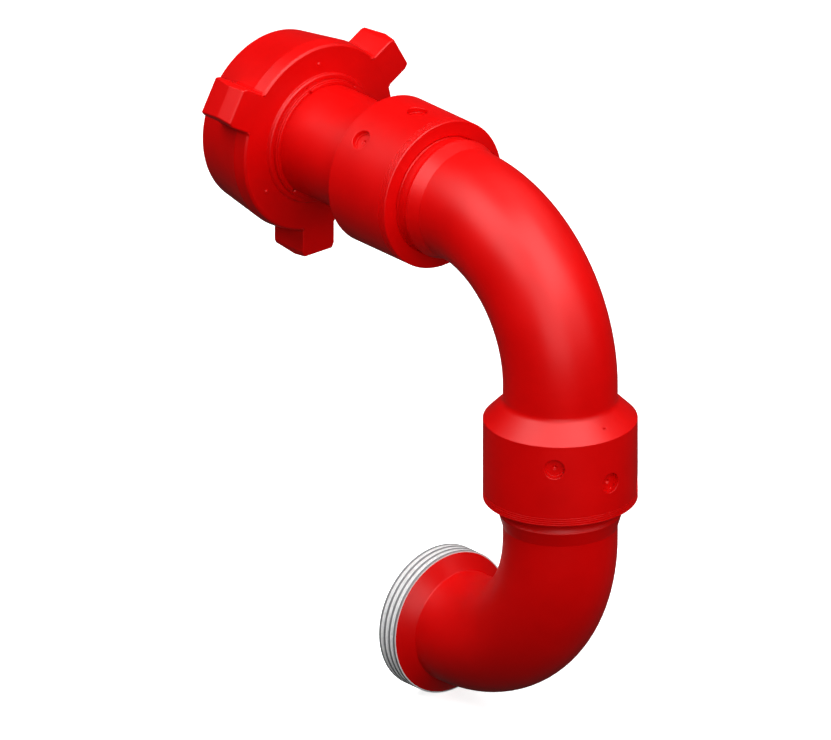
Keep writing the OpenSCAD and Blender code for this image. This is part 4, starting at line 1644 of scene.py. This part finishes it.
@dataclass
class PortFittings(Assembly):
    """Plugs and their snap rings in one housing's three ports."""

    which: Swivel
    body: str
    sizes: SwivelSizes
    ports: list[Port]
    hole_r: float = 1.7
    hole_deep: float = 1.6
    clear: float = 0.08
    pole_r: float = 0.2
    chamfer: float = 0.4
    rim: float = 0.5
    lift: float = 0.1
    columns: int = 48
    ring_w: float = 2.0
    ring_t: float = 1.1
    ring_split: float = 4.0
    ring_turn: float = 20.0

    def turned(self, skin: Skin, port: Port, profile: Array, angles: Array) -> Array:
        """Turns a section about a port's axis.

        Args:
            skin: Where the points go.
            port: The port's frame.
            profile: Rows of radius and height.
            angles: Angles about the port in radians.

        Returns:
            The points' numbers.
        """
        r, h = profile[:, 0][:, None], profile[:, 1][:, None]
        return skin.put(port.place(r * np.cos(angles), r * np.sin(angles), h + 0 * angles))

    def plug(self, row: int) -> None:
        """Builds one plug: a turned disc with a rounded rim and a centre hole.

        Args:
            row: Number of the plug's ball row, from 1.
        """
        r, top = self.sizes.port_r - self.clear, self.sizes.plug_top
        foot, hole, floor = self.sizes.port_foot + self.lift, self.hole_r, top - self.hole_deep
        chamfer, rim, pole = self.chamfer, self.rim, self.pole_r
        profile = rounded(rows([
            (pole, foot, PLAIN), (r - chamfer, foot, CRISP), (r, foot + chamfer, CRISP),
            (r, top - rim, CUT), (r - rim, top, CUT), (hole + rim, top, CRISP),
            (hole, top - rim, CRISP), (hole, floor + chamfer, PLAIN), (pole, floor, PLAIN),
        ]), closed=False)
        skin, which = Skin(), self.which.value
        skin.tube(self.turned(skin, self.ports[row - 1], profile, whole_turn(self.columns)))
        self.painted(skin, f"{which}_port_plug_{row}", self.body, f"{which}_ball_plug_{row}")

    def rings(self) -> None:
        """Builds the three split rings over the plugs as one piece."""
        outer = self.sizes.port_r + self.sizes.slot_depth - self.lift
        inner, low = outer - self.ring_w, self.sizes.plug_top + self.lift / 2
        high = low + self.ring_t
        section = rounded(rows([
            (inner, low, CRISP), (outer, low, KEEN), (outer, high, KEEN), (inner, high, CUT)
        ]), 2)
        skin, which = Skin(), self.which.value
        half = math.degrees(self.ring_split / 2 / outer)
        for row, port in enumerate(self.ports, 1):
            start = self.ring_turn * row + half
            angles = np.radians(np.linspace(start, start + 360 - 2 * half, self.columns + 1))
            skin.tube(self.turned(skin, port, section, angles), rings_are_columns=True)
        self.painted(skin, f"{which}_port_rings", self.body, f"{which}_plug_rings")

    def build(self) -> None:
        """Builds all the fittings of the housing."""
        for row in range(1, len(self.ports) + 1):
            self.plug(row)
        self.rings()


def dress_solids(finishes: Finishes) -> None:
    """Gives the finish of its slot to every node that stays shown, such as the balls and
    seals inside the swivels."""
    slots = {row["node"]: row["material_slot"] for row in frame["record"]["subparts"]}
    for name, obj in frame["nodes"].items():
        if not obj.hide_render:
            obj.data.materials.clear()
            obj.data.materials.append(finishes.by_slot(Slot(slots[name])))
            LOG.info("%s keeps its solid", name)


# Studio


@dataclass(frozen=True)
class Softbox:
    """One soft square light that looks at the object. Sizes in metres, power in watts.
    A light without shine only fills, and one without fill only gives a highlight, as a
    polarised light and its twin do in a studio."""

    name: str
    towards: Triple
    power: float
    size: float = 1.7
    away: float = 2.2
    fill: bool = True
    shine: bool = True

    def build(self, spot: Vector) -> None:
        """Adds the light, aimed at a spot.

        Args:
            spot: The point that it looks at, in metres.
        """
        data = bpy.data.lights.new(self.name, "AREA")
        data.size = self.size
        data.energy = self.power
        obj = bpy.data.objects.new(self.name, data)
        direction = Vector(self.towards).normalized()
        obj.location = spot + self.away * direction
        obj.rotation_mode = "QUATERNION"
        obj.rotation_quaternion = direction.to_track_quat("Z", "Y")
        obj.visible_diffuse = self.fill
        obj.visible_glossy = self.shine
        bpy.context.scene.collection.objects.link(obj)


@dataclass
class Studio:
    """Pale floor, soft lights and the camera at the photograph's angle. Lengths in metres."""

    right: Triple = (0.6508, 0.7593, 0.0)
    up: Triple = (-0.3003, 0.2574, 0.9184)
    back: Triple = (0.6973, -0.5977, 0.3955)
    target: Triple = (0.3108, -0.1256, -0.0992)
    pixels: int = 831
    pixel: float = 0.00089
    away: float = 3.0
    clip_end: float = 40.0
    floor_z: float = -0.4775
    floor_reach: float = 14.0
    floor_points: int = 9
    spot: Triple = (0.25, 0.0, -0.18)
    sky: float = 0.04
    lights: tuple[Softbox, ...] = (
        Softbox("front", (0.75, -0.5, 0.43), 29.0),
        Softbox("right", (0.8, 0.25, 0.55), 14.5),
        Softbox("fill_left", (-0.35, -0.45, 0.82), 31.0, shine=False),
        Softbox("fill_back", (0.0, 0.55, 0.83), 25.0, shine=False),
        Softbox("fill_top", (0.0, 0.0, 1.0), 6.0, shine=False),
        Softbox("shine_top", (0.5, 0.0, 0.86), 60.0, fill=False),
        Softbox("shine_left", (0.0, -0.6, 0.8), 42.0, fill=False),
    )

    def camera(self) -> None:
        """Makes the camera, with parallel lines kept parallel as in the photograph."""
        data = bpy.data.cameras.new("camera")
        data.type = "ORTHO"
        data.ortho_scale = self.pixels * self.pixel
        data.clip_end = self.clip_end
        obj = bpy.data.objects.new("camera", data)
        axes = Matrix((self.right, self.up, self.back)).transposed().to_4x4()
        axes.translation = Vector(self.target) + self.away * Vector(self.back)
        obj.matrix_world = axes
        bpy.context.scene.collection.objects.link(obj)
        bpy.context.scene.camera = obj

    def floor(self) -> None:
        """Adds a wide white floor with a faint even grain, an even grid of quads. It shows
        to the camera, and it takes shadows, but throws no light back up, as in the
        photograph, where the undersides are dark."""
        along = np.linspace(-self.floor_reach, self.floor_reach, self.floor_points)
        x, y = np.meshgrid(along, along, indexing="ij")
        skin = Skin()
        skin.weave(skin.put(np.stack([x, y, np.full_like(x, self.floor_z)], -1) / MM), False)
        obj = skin.build("floor", PaleFloor().material())
        obj.visible_diffuse = False
        obj.visible_glossy = False

    def build(self) -> None:
        """Sets the world, the lights, the floor and the camera."""
        world = bpy.data.worlds.new("studio")
        world.use_nodes = True
        background = world.node_tree.nodes["Background"]
        background.inputs["Color"].default_value = linear("#FFFFFF")
        background.inputs["Strength"].default_value = self.sky
        scene = bpy.context.scene
        scene.world = world
        scene.view_settings.view_transform = "Standard"
        for light in self.lights:
            light.build(Vector(self.spot))
        self.floor()
        self.camera()


def main() -> None:
    """Builds every assembly and the studio."""
    logging.basicConfig(level=logging.INFO, format="%(message)s")
    finishes = Finishes()
    sub, upper, lower = UnionSub(finishes), UpperElbow(finishes), LowerElbow(finishes)
    for assembly in (sub, upper, lower, WingNut(finishes), Retainer(finishes)):
        assembly.build()
    for which, body, part in ((Swivel.UPPER, "inlet", sub), (Swivel.LOWER, "upper", upper)):
        ports = part.swivel.port_frames(part.run, part.open_station)
        PortFittings(finishes, which, body, part.swivel, ports).build()
    dress_solids(finishes)
    Studio().build()
    bpy.context.view_layer.update()


if __name__ == "__main__":
    main()
